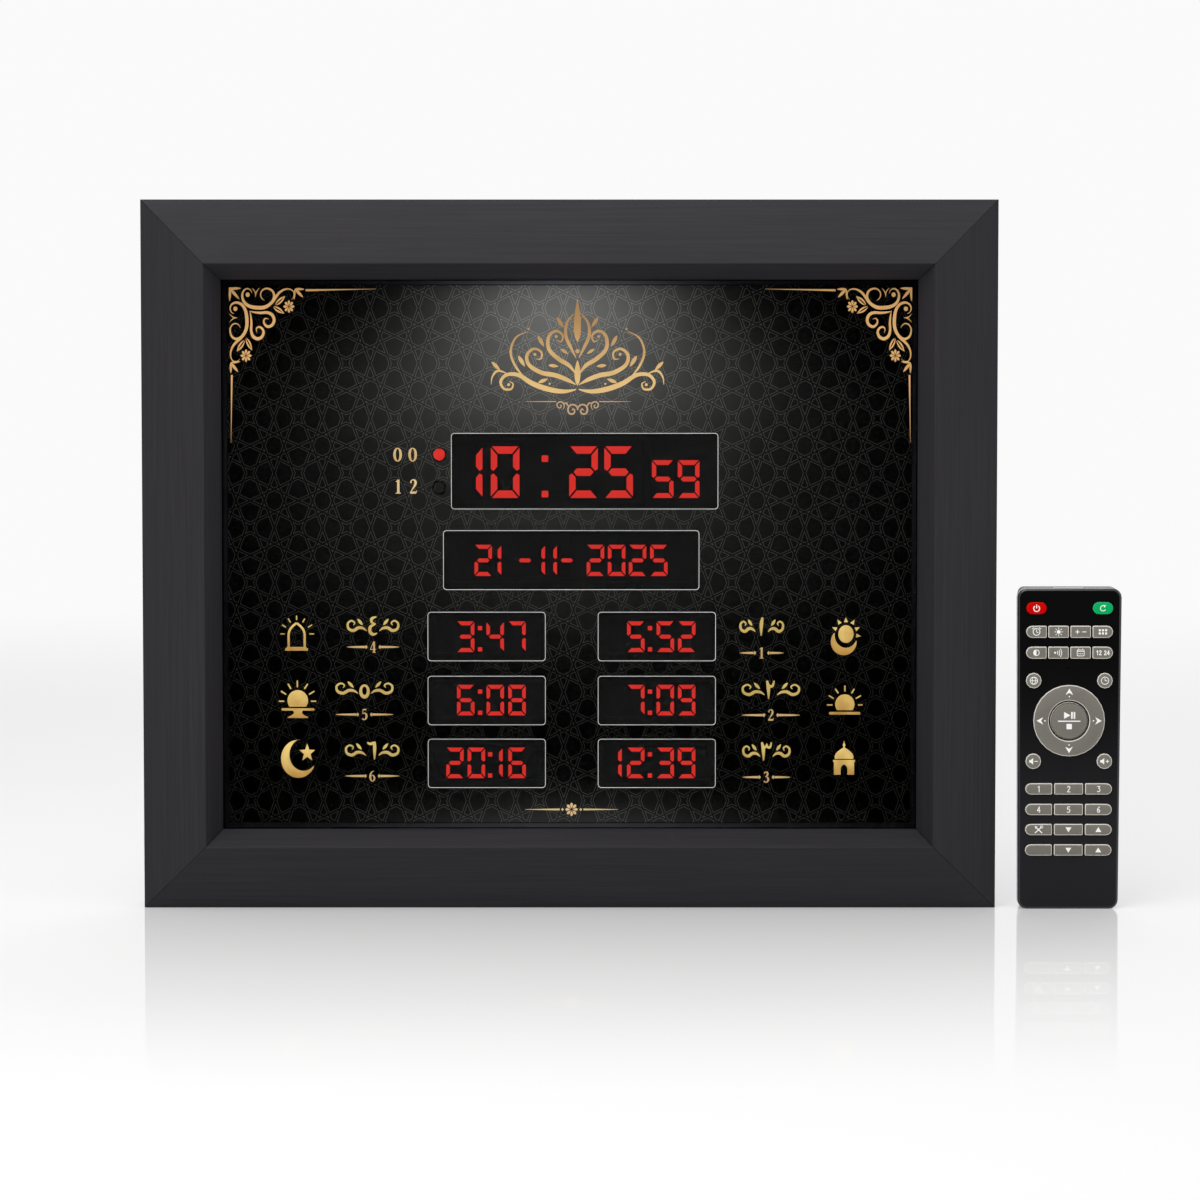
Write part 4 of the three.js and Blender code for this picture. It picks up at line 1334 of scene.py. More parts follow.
TIME_STYLE = DigitStyle(8.8, 15.5, 2.0, 1.8, 0.42)
TIME_ROWS = (
    ("left_digits_1", 129.3, "347", (-56.9, -42.0, -31.0), -46.3),
    ("left_digits_2", 97.15, "608", (-56.9, -42.0, -31.0), -46.3),
    ("left_digits_3", 65.3, "2016", (-62.4, -51.6, -42.7, -31.0), -41.3),
    ("right_digits_1", 129.3, "552", (29.0, 43.9, 54.7), 39.5),
    ("right_digits_2", 97.15, "709", (29.0, 43.9, 54.7), 39.5),
    ("right_digits_3", 65.3, "1239", (17.5, 29.0, 43.9, 54.7), 39.5),
)
READOUTS = (
    Readout("time_digits", 207.17, DigitStyle(14.4, 26.0, 3.75, 3.2, 0.58), "1025",
            (-58.3, -39.65, -0.15, 17.5), ((-14.05, 207.45, 3.3), (-14.05, 225.3, 3.3))),
    Readout("seconds_digits", 207.17, DigitStyle(10.9, 19.0, 2.4, 2.15, 0.44), "59", (41.45, 54.5)),
    Readout("date_digits", 167.79, DigitStyle(8.8, 15.7, 2.0, 1.8, 0.42), "21-11-2025",
            (-47.94, -43.27, -26.90, -21.20, -15.20, -5.80, 8.63, 19.30, 29.86, 40.60)),
    *(Readout(name, low, TIME_STYLE, digits, lefts, ((colon, low + 0.25, 2.15), (colon, low + 11.0, 2.15)))
      for name, low, digits, lefts, colon in TIME_ROWS),
)


# Gold print. Vine and signs are in sketch units: a height above zero is y, which runs down, and one below
# zero is z. The palmette, its rule and the flourish are in millimetres, with z upwards

VINE_FIRST = (
    [(286, 124, 3), (276, 98, 8), (246, 83, 12), (214, 100, 16), (199, 145, 21), (214, 200, 26),
     (258, 238, 30), (322, 253, 34), (388, 252, 33), (440, 228, 29), (474, 190, 26), (486, 145, 23),
     (470, 104, 20), (438, 85, 17), (402, 84, 14), (372, 108, 12), (364, 143, 10), (377, 172, 8),
     (399, 188, 2)],
    [(436, 243, 10), (474, 200, 22), (505, 152, 24), (540, 112, 21), (586, 88, 15), (628, 88, 11),
     (655, 106, 8), (664, 136, 6), (656, 164, 5), (640, 181, 1)],
    [(318, 158, 2), (316, 120, 9), (304, 96, 7), (284, 74, 1)],
    [(318, 158, 2), (323, 122, 9), (336, 98, 7), (357, 74, 1)],
    [(262, 284, 2), (306, 294, 15), (360, 300, 22), (420, 297, 25), (464, 316, 29), (484, 360, 29),
     (470, 404, 27), (432, 424, 24), (401, 405, 20), (391, 374, 16), (406, 350, 11), (436, 356, 2)],
)
VINE_PETALS = ((498, 229, 579, 154), (480, 245, 570, 302))
PETAL_STATIONS = ((0, 4, 2), (0.3, 12, 13), (0.62, 12, 15), (0.88, 5, 9), (1.06, 0, 1))
VINE_LEAVES = ((757, 88, 19), (746, 162, 24), (664, 184, 17))
CORNER_LEAVES = ((9, -11, 110, -6, 21), (9, -9, 92, -92, 24), (11, -9, 6, -110, 21))

PALMETTE_STROKES = (
    [(0.6, 6.2, 0.5), (7, 5.2, 2.0), (15, 6.4, 2.6), (23, 9.4, 2.4), (29.5, 13.4, 2.0), (35.5, 13.6, 1.7),
     (38.6, 10.2, 1.4), (37, 6.6, 1.2), (33.4, 6.4, 1.0), (32.4, 9.0, 0.7), (34.3, 10.2, 0.3)],
    [(0.8, 8.6, 0.4), (5.5, 11.2, 2.0), (11.5, 13.4, 2.3), (18, 14.6, 2.2), (24.2, 18.4, 1.9),
     (25.4, 23.4, 1.6), (22, 26.6, 1.3), (18.2, 25.0, 1.1), (18.4, 21.6, 0.8), (20.9, 21.6, 0.3)],
    [(0.8, 14.0, 0.4), (4.4, 18.4, 1.9), (9.6, 21.6, 2.1), (14.4, 26.6, 1.9), (14.4, 32.8, 1.6),
     (10.8, 35.6, 1.3), (7.4, 33.4, 1.0), (8.2, 30.2, 0.7), (10.3, 31.0, 0.3)],
    [(0.7, 22.0, 0.3), (3.4, 27.4, 1.5), (5.8, 33.0, 1.6), (5.4, 39.4, 1.3), (1.9, 44.2, 0.4)],
    [(25.6, 11.0, 0.4), (31.0, 17.6, 1.1), (33.6, 25.0, 1.2), (31.0, 32.2, 0.9), (25.2, 35.2, 0.3)],
    [(35.0, 14.0, 0.3), (40.0, 15.6, 1.2), (42.8, 12.6, 0.8), (43.4, 8.6, 0.2)],
)
PALMETTE_LEAVES = (
    (26.4, 17.6, 29.8, 23.2, 2.0), (14.8, 11.6, 19.8, 9.6, 1.8), (9.4, 17.8, 14.6, 18.4, 1.7),
    (16.8, 27.6, 20.0, 33.4, 1.9), (7.0, 37.2, 10.4, 42.6, 1.8), (38.8, 15.8, 43.2, 20.2, 1.8),
    (4.6, 24.0, 8.6, 26.6, 1.5),
)
PALMETTE_DOTS = ((34.6, 8.6, 0.75), (21.4, 23.8, 0.75), (10.6, 32.8, 0.7), (24.6, 36.6, 0.6), (14, 9, 0.5))
RULE_STROKES = (
    (2, [(10.9, 0.2, 0.5), (18, 0.2, 0.42), (26.8, 0.2, 0.12)]),
    (5, [(8.9, -1.3, 0.3), (8.2, -2.1, 0.5), (8.9, -3.0, 0.55), (10.1, -2.4, 0.6), (10.3, -1.0, 0.6),
         (9.0, 0.1, 0.65), (7.3, -0.5, 0.7), (6.8, -2.4, 0.5), (7.6, -3.9, 0.2)]),
    (5, [(2.9, -4.4, 0.3), (2.4, -3.5, 0.6), (1.5, -4.4, 0.7), (2.2, -5.9, 0.8), (4.1, -5.8, 0.85),
         (4.9, -3.9, 0.85), (4.1, -1.9, 0.8), (2.1, -1.3, 0.75), (0.5, -2.3, 0.7), (0.1, -4.0, 0.3)]),
    (4, [(4.6, -2.4, 0.3), (5.6, -0.7, 0.8), (6.9, -0.5, 0.3)]),
)
ARCH_WALL = [(148, -340, 17), (148, -285, 17), (148, -236, 17), (158, -200, 17), (182, -169, 17),
             (212, -145, 17)]
SETTING_FOOT = [(178, -845), (262, -845), (252, -862), (254, -872), (270, -886), (302, -901), (300, -908),
                (140, -908), (138, -901), (170, -886), (186, -872), (188, -862)]
ARCH_RAYS = ((212, 89, 212, 117), (146, 112, 161, 136), (276, 112, 263, 136), (99, 161, 124, 178),
             (333, 161, 306, 178), (85, 232, 113, 232), (316, 232, 348, 232))
SETTING_RAYS = ((216, 611, 216, 656), (143, 637, 162, 670), (297, 637, 275, 670), (88, 694, 122, 716),
                (349, 694, 313, 716), (71, 773, 106, 773), (328, 773, 364, 773))
RISING_RAYS = ((882, 651, 882, 691), (808, 677, 827, 706), (955, 677, 938, 706), (757, 730, 790, 750),
               (1007, 730, 973, 750), (743, 803, 779, 803), (991, 803, 1020, 803))
SUN_TIPS = ((888, 100), (822, 117), (957, 119), (779, 178), (999, 179), (1009, 251))
DOME = [(877, -1090), (880, -1108), (884, -1117), (888, -1127), (882, -1138), (885, -1148), (903, -1160),
        (928, -1178), (945, -1197), (953, -1218), (950, -1238)]
GATE = [(877, -1262), (958, -1262), (958, -1365), (904, -1365), (904, -1313), (896, -1295), (877, -1281)]
FLOURISH = ((3.2, -2.6, 0.3), (5.0, -1.2, 1.2), (7.4, -1.0, 1.5), (9.8, -2.4, 1.5), (12.2, -1.4, 1.25),
            (12.6, 1.2, 1.0), (10.8, 2.6, 0.85), (9.2, 1.6, 0.7), (9.8, 0.4, 0.3))


@dataclass(frozen=True)
class Label:
    """The number of one prayer time and the flourish over it."""

    figure: str
    x: float
    level: float
    reach: float
    low: float


LABELS = tuple(Label(*values) for values in (
    ("4", -99.2, 142.6, 13.1, 129.1), ("5", -103.6, 110.9, 14.5, 94.9), ("6", -99.8, 79.5, 13.6, 63.7),
    ("1", 96.9, 142.2, 11.0, 126.1), ("2", 101.6, 110.2, 14.6, 94.6), ("3", 99.4, 79.0, 12.0, 63.1),
))


@dataclass
class Dial(Assembly):
    """The dial: pane, printed sheet with its gold, window lines, displays, digits and lamps."""

    field_x: Span = (-174.9, 174.9)
    field_z: Span = (40.1, 316.9)
    border: float = 2.4
    line: float = 0.22
    edge_line: float = 0.45
    print_front: float = -1.46
    print_back: float = -1.39
    stretch: float = 1.138
    sketch: float = 0.063
    vine_unit: float = 0.056
    vine_weight: float = 0.86
    sketch_top: float = 153.15
    middle: float = 0.57
    digit_planes: Point = (-0.42, -0.28)
    mask_planes: Point = (-0.56, -0.34)
    lamp_seam: float = 3.55
    corner: Point = (-171.0, 313.0)
    palmette: Point = (4.0, 255.6)
    palmette_rule: Point = (4.1, 255.5)
    foot: Point = (0.95, 49.5)
    sign_lefts: Point = (-151.09, 83.4)
    windows: tuple[Window, ...] = (
        Window("time_display", 7.595, 220.69, 134.0, 37.9),
        Window("date_display", 0.805, 175.81, 128.6, 29.6),
        *(Window(f"{side}_display_{row + 1}", x, z, 59.0, 24.4)
          for side, x in (("left", -41.895), ("right", 43.995))
          for row, z in enumerate((137.2, 104.79, 72.91))),
    )

    def build(self) -> None:
        """Builds and dresses everything behind the frame's lip."""
        self.dress({"front_glass": "glass", "dial_sheet": "dial", "seconds_display": "display"}
                   | {window.node: "display" for window in self.windows})
        lamps = (("am_lamp", "lamp_red", Slot.LAMP_RED), ("pm_lamp", "lamp_dark", Slot.LAMP_DARK))
        for name, finish, slot in lamps:
            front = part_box(name)[0].y / MM
            self.soften(name, f"{name}_lens", finish, slot,
                        Rounding(0.35, lambda m, front=front: m.y < front + 0.05))
        StarLattice().build(self.field_x, self.field_z, self.windows, self.finishes["lattice"])
        self._lines()
        self._masks()
        for readout in READOUTS:
            digits = Inlay(*self.digit_planes)
            readout.draw(digits)
            digits.finish(readout.name, self.finishes["digit"], Slot.DIGIT)
        self._corners()
        self._palmette()
        self._left_signs()
        self._right_signs()
        self._numbers()
        self._flourishes()
        self._foot_rule()

    def _inlay(self, scale: float = 1.0, origin: Point = (0.0, 0.0), lift: float = 0.0) -> Inlay:
        """Starts print on the sheet."""
        return Inlay(self.print_front - lift, self.print_back, scale, origin)

    def _gold(self, inlay: Inlay, name: str, finish: str = "gold") -> None:
        """Finishes a gold print."""
        inlay.finish(name, self.finishes[finish], Slot.GOLD)

    def _sheet_outline(self, inset: float) -> list[Point]:
        """Gives the corners of the sheet's field, moved inwards."""
        (left, right), (low, high) = self.field_x, self.field_z
        return corner_points(0.0, (low + high) / 2, (right - left) / 2 - inset, (high - low) / 2 - inset)

    def _lines(self) -> None:
        """Draws the line round each window, the border round the sheet, the dark seams, and a dark line along
        the sheet's outer edge that is painted shadow of the frame's lip.
        """
        lines = self._inlay()
        for window in self.windows:
            lines.ring(rounded_box(window.x, window.z, window.width + 2 * self.line,
                                   window.height + 2 * self.line, window.radius + self.line), self.line)
        lines.finish("window_lines", self.finishes["window_line"], Slot.LINE)
        edge = self._inlay()
        edge.ring(self._sheet_outline(0.0), self.border)
        edge.finish("dial_border", self.finishes["border"], Slot.LINE)
        seams = self._inlay(lift=0.01)
        # At inset 0 the dark ring is painted shadow of the frame's lip; at the border's inset it is a seam.
        for inset in (0.0, self.border):
            seams.ring(self._sheet_outline(inset), self.edge_line)
        for name in ("am_lamp", "pm_lamp"):
            low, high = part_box(name)
            middle = (low + high) * (0.5 / MM)
            seams.ring(arc(middle.x, middle.z, self.lamp_seam, self.lamp_seam, 0, 350, 35), 0.5)
        seams.finish("dial_seams_and_painted_lip_shadow", self.finishes["mask"], Slot.DISPLAY)

    def _masks(self) -> None:
        """Closes the gap between each display and its window from behind."""
        masks = Inlay(*self.mask_planes)
        grow, inset, overlap = 1.5, 0.6 * MM, 0.8
        for window in self.windows:
            low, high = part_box(window.node)
            if window.node == "time_display":
                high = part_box("seconds_display")[1]
            face = masks.area(
                corner_points(window.x, window.z, window.width / 2 + grow, window.height / 2 + grow))
            masks.bm.normal_update()
            bmesh.ops.inset_individual(masks.bm, faces=[face], thickness=1.0 * MM)
            for vert in face.verts:
                vert.co.x = low.x + inset if vert.co.x < window.x * MM else high.x - inset
                vert.co.z = low.z + inset if vert.co.z < window.z * MM else high.z - inset
            bmesh.ops.delete(masks.bm, geom=[face], context="FACES_ONLY")
        left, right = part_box("time_display")[1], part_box("seconds_display")[0]
        masks.box((left.x + right.x) * 0.5 / MM, (left.z + right.z) * 0.5 / MM,
                  (right.x - left.x) / MM + overlap, (left.z - right.z) / MM, 0.1, 1)
        masks.finish("window_masks", self.finishes["display"], Slot.DISPLAY)

    def _corners(self) -> None:
        """Draws the vine scroll of the top corners and the rules that run out of it.

        One half is drawn to the right and down from the corner and turned over for the other half.
        """
        vine = self._inlay(self.vine_unit)
        left, top, d = 80, 72, 1 / self.stretch

        def pen(points: Sequence[Station], steps: int) -> None:
            """Draws a stroke given in sketch units."""
            vine.stroke([(x - left, (top - y) * d, width * self.vine_weight) for x, y, width in points],
                        steps)

        pen(VINE_FIRST[0], 5)
        vine.dot(248 - left, (top - 137) * d, 18, 18)
        for points, steps in zip(VINE_FIRST[1:], (5, 4, 4, 5)):
            pen(points, steps)
        for x0, y0, x1, y1 in VINE_PETALS:
            run = Vector((x1 - x0, y1 - y0))
            side = Vector((-run.y, run.x)).normalized()
            for turn in (-1, 1):
                pen([(x0 + run.x * share + side.x * turn * off,
                      y0 + run.y * share + side.y * turn * off, width)
                     for share, off, width in PETAL_STATIONS], 4)
        vine.flower(617 - left, (top - 243) * d, 4, (50, 50), 20, 0.66)
        for x, y, width in VINE_LEAVES:
            vine.leaf(672 - left, (top - 86) * d, x - left, (top - y) * d, width, 0.45)
        vine.copy(Matrix(((0, 0, -1, 0), (0, 1, 0, 0), (-1, 0, 0, 0), (0, 0, 0, 1))))
        pen([(768, 97, 19), (900, 95, 15), (1100, 91, 9), (1400, 86, 2)], 2)
        vine.stroke([(22, -690, 16), (20, -800, 13), (17, -960, 8), (12, -1224, 2)], 2)
        for leaf in CORNER_LEAVES:
            vine.leaf(*leaf, 0.42)
        vine.area([(0, 0), (40, 0), (14, -14), (0, -40)])
        x, z = self.corner
        place = Matrix.Translation((x * MM, 0, z * MM)) @ Matrix.Diagonal((1, 1, self.stretch, 1))
        bmesh.ops.transform(vine.bm, matrix=place, verts=vine.bm.verts)
        vine.mirror(self.middle)
        self._gold(vine, "corner_ornaments", "ornament_gold")

    def _palmette(self) -> None:
        """Draws a plain arabesque over the main window and the rule under it."""
        knot = self._inlay(1.0, self.palmette)
        for stations in PALMETTE_STROKES:
            knot.stroke(stations, 5)
        for leaf in PALMETTE_LEAVES:
            knot.leaf(*leaf, 0.55)
        for dot in PALMETTE_DOTS:
            knot.dot(*dot, steps=14)
        knot.mirror(self.palmette[0])
        knot.leaf(0, 30.0, 0, 51.5, 3.6, 0.36)
        knot.leaf(0, 8.0, 0, 21.0, 3.0, 0.45)
        knot.dot(0, 25.4, 1.1, steps=16)
        self._gold(knot, "dial_palmette", "palmette_gold")
        rule = self._inlay(1.0, self.palmette_rule)
        for steps, stations in RULE_STROKES:
            rule.stroke(stations, steps)
        rule.mirror(self.palmette_rule[0])
        self._gold(rule, "palmette_rule", "rule_gold")

    def _sketch(self, left: float) -> Inlay:
        """Starts signs that are drawn downwards from the top of their column."""
        return self._inlay(self.sketch, (left, self.sketch_top))

    @staticmethod
    def _rays(signs: Inlay, rays: Sequence[Sequence[float]], width: float) -> None:
        """Draws rays, each from its outer to its inner end."""
        for x0, y0, x1, y1 in rays:
            signs.bar(x0, -y0, x1, -y1, width)

    @staticmethod
    def _crescent(
        signs: Inlay, outer: Sequence[float], inner: Sequence[float], start: float, end: float
    ) -> None:
        """Draws a crescent between two ellipses.

        Args:
            signs: Where to draw.
            outer: Middle and half sizes of the outer ellipse.
            inner: The same of the inner one.
            start: Angle of the first horn on the outer ellipse, in degrees.
            end: Angle of the second horn.
        """
        steps = 30
        x, y, reach, rise = inner
        rim = arc(outer[0], -outer[1], *outer[2:], start, end, steps)
        first, last = (math.degrees(math.atan2((pz + y) / rise, (px - x) / reach)) % 360
                       for px, pz in (rim[-1], rim[0]))
        first += 360 if first < last else 0
        signs.area(rim + arc(x, -y, reach, rise, first, last, steps)[1:-1])

    def _left_signs(self) -> None:
        """Draws the arch, the setting sun and the crescent with its star."""
        signs = self._sketch(self.sign_lefts[0])
        signs.stroke(ARCH_WALL, 4)
        signs.stroke([(424 - x, z, width) for x, z, width in ARCH_WALL], 4)
        signs.box(211, -342, 158, 10, 3, 2)
        signs.box(211, -357, 182, 19, 4, 3)
        self._rays(signs, ARCH_RAYS, 8)
        signs.area(arc(219, -768, 82, 84, -36, 216, 34))
        signs.box(220, -839, 264, 19, 9, 4)
        signs.area(SETTING_FOOT)
        self._rays(signs, SETTING_RAYS, 10)
        self._crescent(signs, (221, 1237, 138, 153), (262, 1204, 112, 130), 81, 338)
        star = []
        for i in range(10):
            turn, reach = math.radians(90 + 36 * i), 0.42 if i % 2 else 1.0
            star.append((293 + 66 * reach * math.cos(turn), -1189 + 75 * reach * math.sin(turn)))
        signs.area(star)
        self._gold(signs, "left_signs")

    def _right_signs(self) -> None:
        """Draws the sun over a crescent, the rising sun and the domed gate."""
        signs = self._sketch(self.sign_lefts[1])
        signs.dot(889, -233, 61, 71, 36)
        self._crescent(signs, (871, 297, 103, 106), (889, 240, 91, 104), 136, 366)
        for x, y in SUN_TIPS:
            run = Vector((x - 889, y - 233))
            root = Vector((889, 233)) + run.normalized() * (run.length - 38)
            side = Vector((-run.y, run.x)).normalized() * 16
            signs.area([(x, -y), (root.x + side.x, -(root.y + side.y)),
                        (root.x - side.x, -(root.y - side.y))])
        signs.area(arc(882, -798, 77, 80, -36, 216, 34))
        signs.box(881, -870, 250, 21, 8, 4)
        self._rays(signs, RISING_RAYS, 10)
        signs.area(DOME + [(1754 - x, z) for x, z in reversed(DOME[1:])])
        signs.box(877, -1254, 176, 17, 3, 2)
        signs.area(GATE + [(1754 - x, z) for x, z in reversed(GATE[1:-1])])
        self._gold(signs, "right_signs")

    def _numbers(self) -> None:
        """Draws the plain numbers by the lamps and under the flourishes."""
        numbers = self._inlay()
        write_figures(numbers, SERIF_FIGURES, "00", -82.75, 225.4, 7.2, 1.05)
        write_figures(numbers, SERIF_FIGURES, "12", -82.45, 209.4, 7.2, 1.05)
        for label in LABELS:
            x, reach, level = label.x, label.reach, label.low + 2.8
            write_figures(numbers, SERIF_FIGURES, label.figure, x, label.low, 5.7)
            for side in (-1, 1):
                numbers.stroke([(x + side * 4.2, level, 1.1), (x + side * (reach * 0.6 + 2), level, 0.8),
                                (x + side * reach, level, 0.2)], 2)
                numbers.dot(x + side * 3.5, level, 0.75, 1.0, 4)
        self._gold(numbers, "dial_numbers", "text_gold")

    def _flourishes(self) -> None:
        """Draws a small scroll on both sides of an Eastern figure over each number."""
        scrolls = self._inlay()
        root = 3.4
        for label in LABELS:
            x, level, scale = label.x, label.level, (label.reach - root) / 9.6
            write_figures(scrolls, EASTERN_FIGURES, label.figure, x, level - 4.8, 9.6)
            for side in (-1, 1):
                scrolls.stroke([(x + side * (root + (px - root) * scale), level + pz, width)
                                for px, pz, width in FLOURISH], 4)
                scrolls.leaf(x + side * (root + 1.8 * scale), level + 0.4, x + side * (root + 4.4 * scale),
                             level + 3.6, 1.4)
        self._gold(scrolls, "label_flourishes", "label_gold")

    def _foot_rule(self) -> None:
        """Draws a thin rule with a small flower at the dial's foot."""
        rule = self._inlay(1.0, self.foot)
        for side in (-1, 1):
            rule.stroke([(side * 6.0, 0, 0.9), (side * 14, 0, 0.6), (side * 23.5, 0, 0.12)], 2)
            rule.dot(side * 4.6, 0, 0.7, 0.8, 4)
        rule.flower(0, 0, 0.5, (3.2, 3.4), 1.4, 0.65)
        self._gold(rule, "foot_rule", "text_gold")


@dataclass
class Moulding(Assembly):
    """The four mitred rails of the frame, with eased edges."""

    ease: float = 0.45
    ridge_ease: float = 0.7
    groove_ease: float = 0.12
    ridge_level: float = -16.9
    edge_levels: Span = (-7.1, -4.9)

    def build(self) -> None:
        """Replaces each rail by a copy with rounded ridge and edges."""
        near, far = self.edge_levels
        for side, run in (("top", "across"), ("bottom", "across"), ("left", "upright"), ("right", "upright")):
            self.soften(
                f"frame_{side}_rail", f"{side}_rail_moulding", f"wood_{run}", Slot.FRAME,
                Rounding(self.ridge_ease, lambda m: m.y < self.ridge_level, 4),
                Rounding(self.ease, lambda m: near < m.y < far),
                Rounding(self.groove_ease, lambda m: m.y < near, 1),
            )


def add_screw(bm: bmesh.types.BMesh, x: float, y: float, z: float, radius: float) -> None:
    """Adds a countersunk screw head with a cross recess that looks to the back.

    Args:
        bm: The mesh to add to, in metres.
        x: Middle of the head, across.
        y: Level of its face.
        z: Middle of the head, up.
        radius: Its radius.
    """
    steps = 24
    arm, reach = 0.14 * radius, 0.56 * radius
    quarter = ((reach, -arm), (reach, arm), (arm, arm))
    corners = [(a, b) for a, b in quarter] + [(-b, a) for a, b in quarter]
    corners += [(-a, -b) for a, b in corners]
    loop = []
    for (x0, z0), (x1, z1) in zip(corners, corners[1:] + corners[:1]):
        loop += [(x0, z0), ((x0 + x1) / 2, (z0 + z1) / 2)]
    first = math.atan2(loop[0][1], loop[0][0])
    turns = [first + 2 * math.pi * i / steps for i in range(steps)]
    circle = [(radius * math.cos(turn), radius * math.sin(turn)) for turn in turns]
    rings = []
    for points, size, level in ((circle, 0.45, y - 1.6), (circle, 1.0, y - 0.12), (circle, 0.94, y),
                                (loop, 1.0, y), (loop, 0.8, y - 0.55 * radius)):
        verts = [bm.verts.new(((x + px * size) * MM, level * MM, (z + pz * size) * MM)) for px, pz in points]
        rings.append([bm.edges.new((verts[i], verts[(i + 1) % len(verts)])) for i in range(len(verts))])
    for low, high in zip(rings, rings[1:]):
        bmesh.ops.bridge_loops(bm, edges=low + high)
    for end in (rings[0], rings[-1]):
        bmesh.ops.contextual_create(bm, geom=end)


SPEAKER_PROFILE = (
    (0.0, 3.2), (3.5, 3.5), (6.6, 4.6), (7.2, 5.2), (18.4, 1.7), (19.2, 1.2), (20.6, 0.7), (22.0, 1.2),
    (22.4, 0.9), (23.0, 0.0), (25.0, 0.0), (25.0, 1.5), (12.0, 6.6), (12.0, 11.4), (0.0, 11.4),
)


@dataclass
class BackSide(Assembly):
    """Cover, hangers, screws, speaker, board and inlet, seen from behind."""

    cover_back: float = 20.3
    cover_rim: float = 2.5
    cover_reach: float = 190.8
    cover_levels: Span = (24.2, 332.8)
    cover_screw: float = 3.3
    screw_reach: Point = (186.5, 150.0)
    screw_proud: float = 0.06
    middle_z: float = 178.5
    hanger_back: float = 19.8
    hanger_place: Point = (125.0, 345.0)
    hanger_screw: float = 2.0
    hanger_screw_reach: float = 7.2
    rib_radius: float = 5.0
    rib_proud: float = 0.25
    rib_depth: float = 0.35

    def build(self) -> None:
        """Builds the back's pieces and dresses its nodes."""
        self.dress({"main_board": "board"})
        back, middle = self.cover_back, self.middle_z
        low, high = self.cover_levels

        def outer_edge(m: Vector) -> bool:
            """Tells whether an edge lies on the cover's outline."""
            return m.y > back - self.cover_rim and (abs(m.x) > self.cover_reach or not low < m.z < high)

        self.soften("back_cover", "back_cover_shell", "cover", Slot.COVER, Rounding(0.7, outer_edge))
        self.soften("power_jack", "power_inlet", "jack", Slot.COVER,
                    Rounding(0.15, lambda m: m.y > back - 0.1))
        for side in ("left", "right"):
            self.soften(f"hanger_{side}", f"hanger_plate_{side}", "hanger", Slot.HANGER,
                        Rounding(0.25, lambda m: m.y > self.hanger_back - 0.05, 2))
        edge, rise = self.screw_reach
        places = [(x, z) for x in (-edge, 0.0, edge) for z in (middle - rise, middle + rise)]
        self._screws("cover_screws", back, self.cover_screw, [*places, (-edge, middle), (edge, middle)])
        (across, level), reach = self.hanger_place, self.hanger_screw_reach
        self._screws("hanger_screws", self.hanger_back, self.hanger_screw,
                     [(x + side, level) for x in (-across, across) for side in (-reach, reach)])
        self._speaker()
        self._ribs()

    def _screws(self, name: str, level: float, radius: float, places: Sequence[Point]) -> None:
        """Makes screws on one level of the back.

        Args:
            name: The piece's name.
            level: The level that they are sunk in.
            radius: Radius of a head.
            places: The middle of each.
        """
        bm = bmesh.new()
        for x, z in places:
            add_screw(bm, x, level + self.screw_proud, z, radius)
        dressed(bm, name, self.finishes["screw"], Slot.SCREW)

    def _speaker(self) -> None:
        """Turns the speaker's rim, roll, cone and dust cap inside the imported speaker's space."""
        low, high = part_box("speaker")
        middle = (low + high) * 0.5
        bm = bmesh.new()
        verts = [bm.verts.new((radius * MM, high.y - depth * MM, 0)) for radius, depth in SPEAKER_PROFILE]
        edges = [bm.edges.new(pair) for pair in zip(verts, verts[1:])]
        bmesh.ops.spin(bm, geom=verts + edges, cent=(0, 0, 0), axis=(0, 1, 0), angle=2 * math.pi, steps=56,
                       use_merge=True)
        bmesh.ops.remove_doubles(bm, verts=bm.verts, dist=1e-6)
        bmesh.ops.translate(bm, vec=(middle.x, 0, middle.z), verts=bm.verts)
        piece = dressed(bm, "speaker_driver", self.finishes["cone"], Slot.SPEAKER)
        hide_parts("speaker")

    def _ribs(self) -> None:
        """Adds the moulded stiffening frame and the bare label field on the cover's back."""
        bm = bmesh.new()
        for *box, line in ((0.0, self.middle_z, 356.0, 284.0, 1.6), (-40.0, 106.0, 74.0, 46.0, 1.2)):
            outline = rounded_box(*box, self.rib_radius, 6)
            level = (self.cover_back + self.rib_proud) * MM
            face = bm.faces.new([bm.verts.new((px * MM, level, pz * MM)) for px, pz in outline])
            bm.normal_update()
            hollow(bm, [face], line)
        thicken(bm, -self.rib_depth)
        dressed(bm, "cover_ribs", self.finishes["cover"], Slot.COVER)


OPEN_RING = arc(0, -0.15, 1.5, 1.5, 125, 415, 18)
LOUDSPEAKER = ("area", [(-2.1, 0.65), (-1.3, 0.65), (-0.1, 1.7), (-0.1, -1.7), (-1.3, -0.65), (-2.1, -0.65)])
LOUDSPEAKER_MINUS = ("bar", 0.75, 0, 2.2, 0, 0.38)

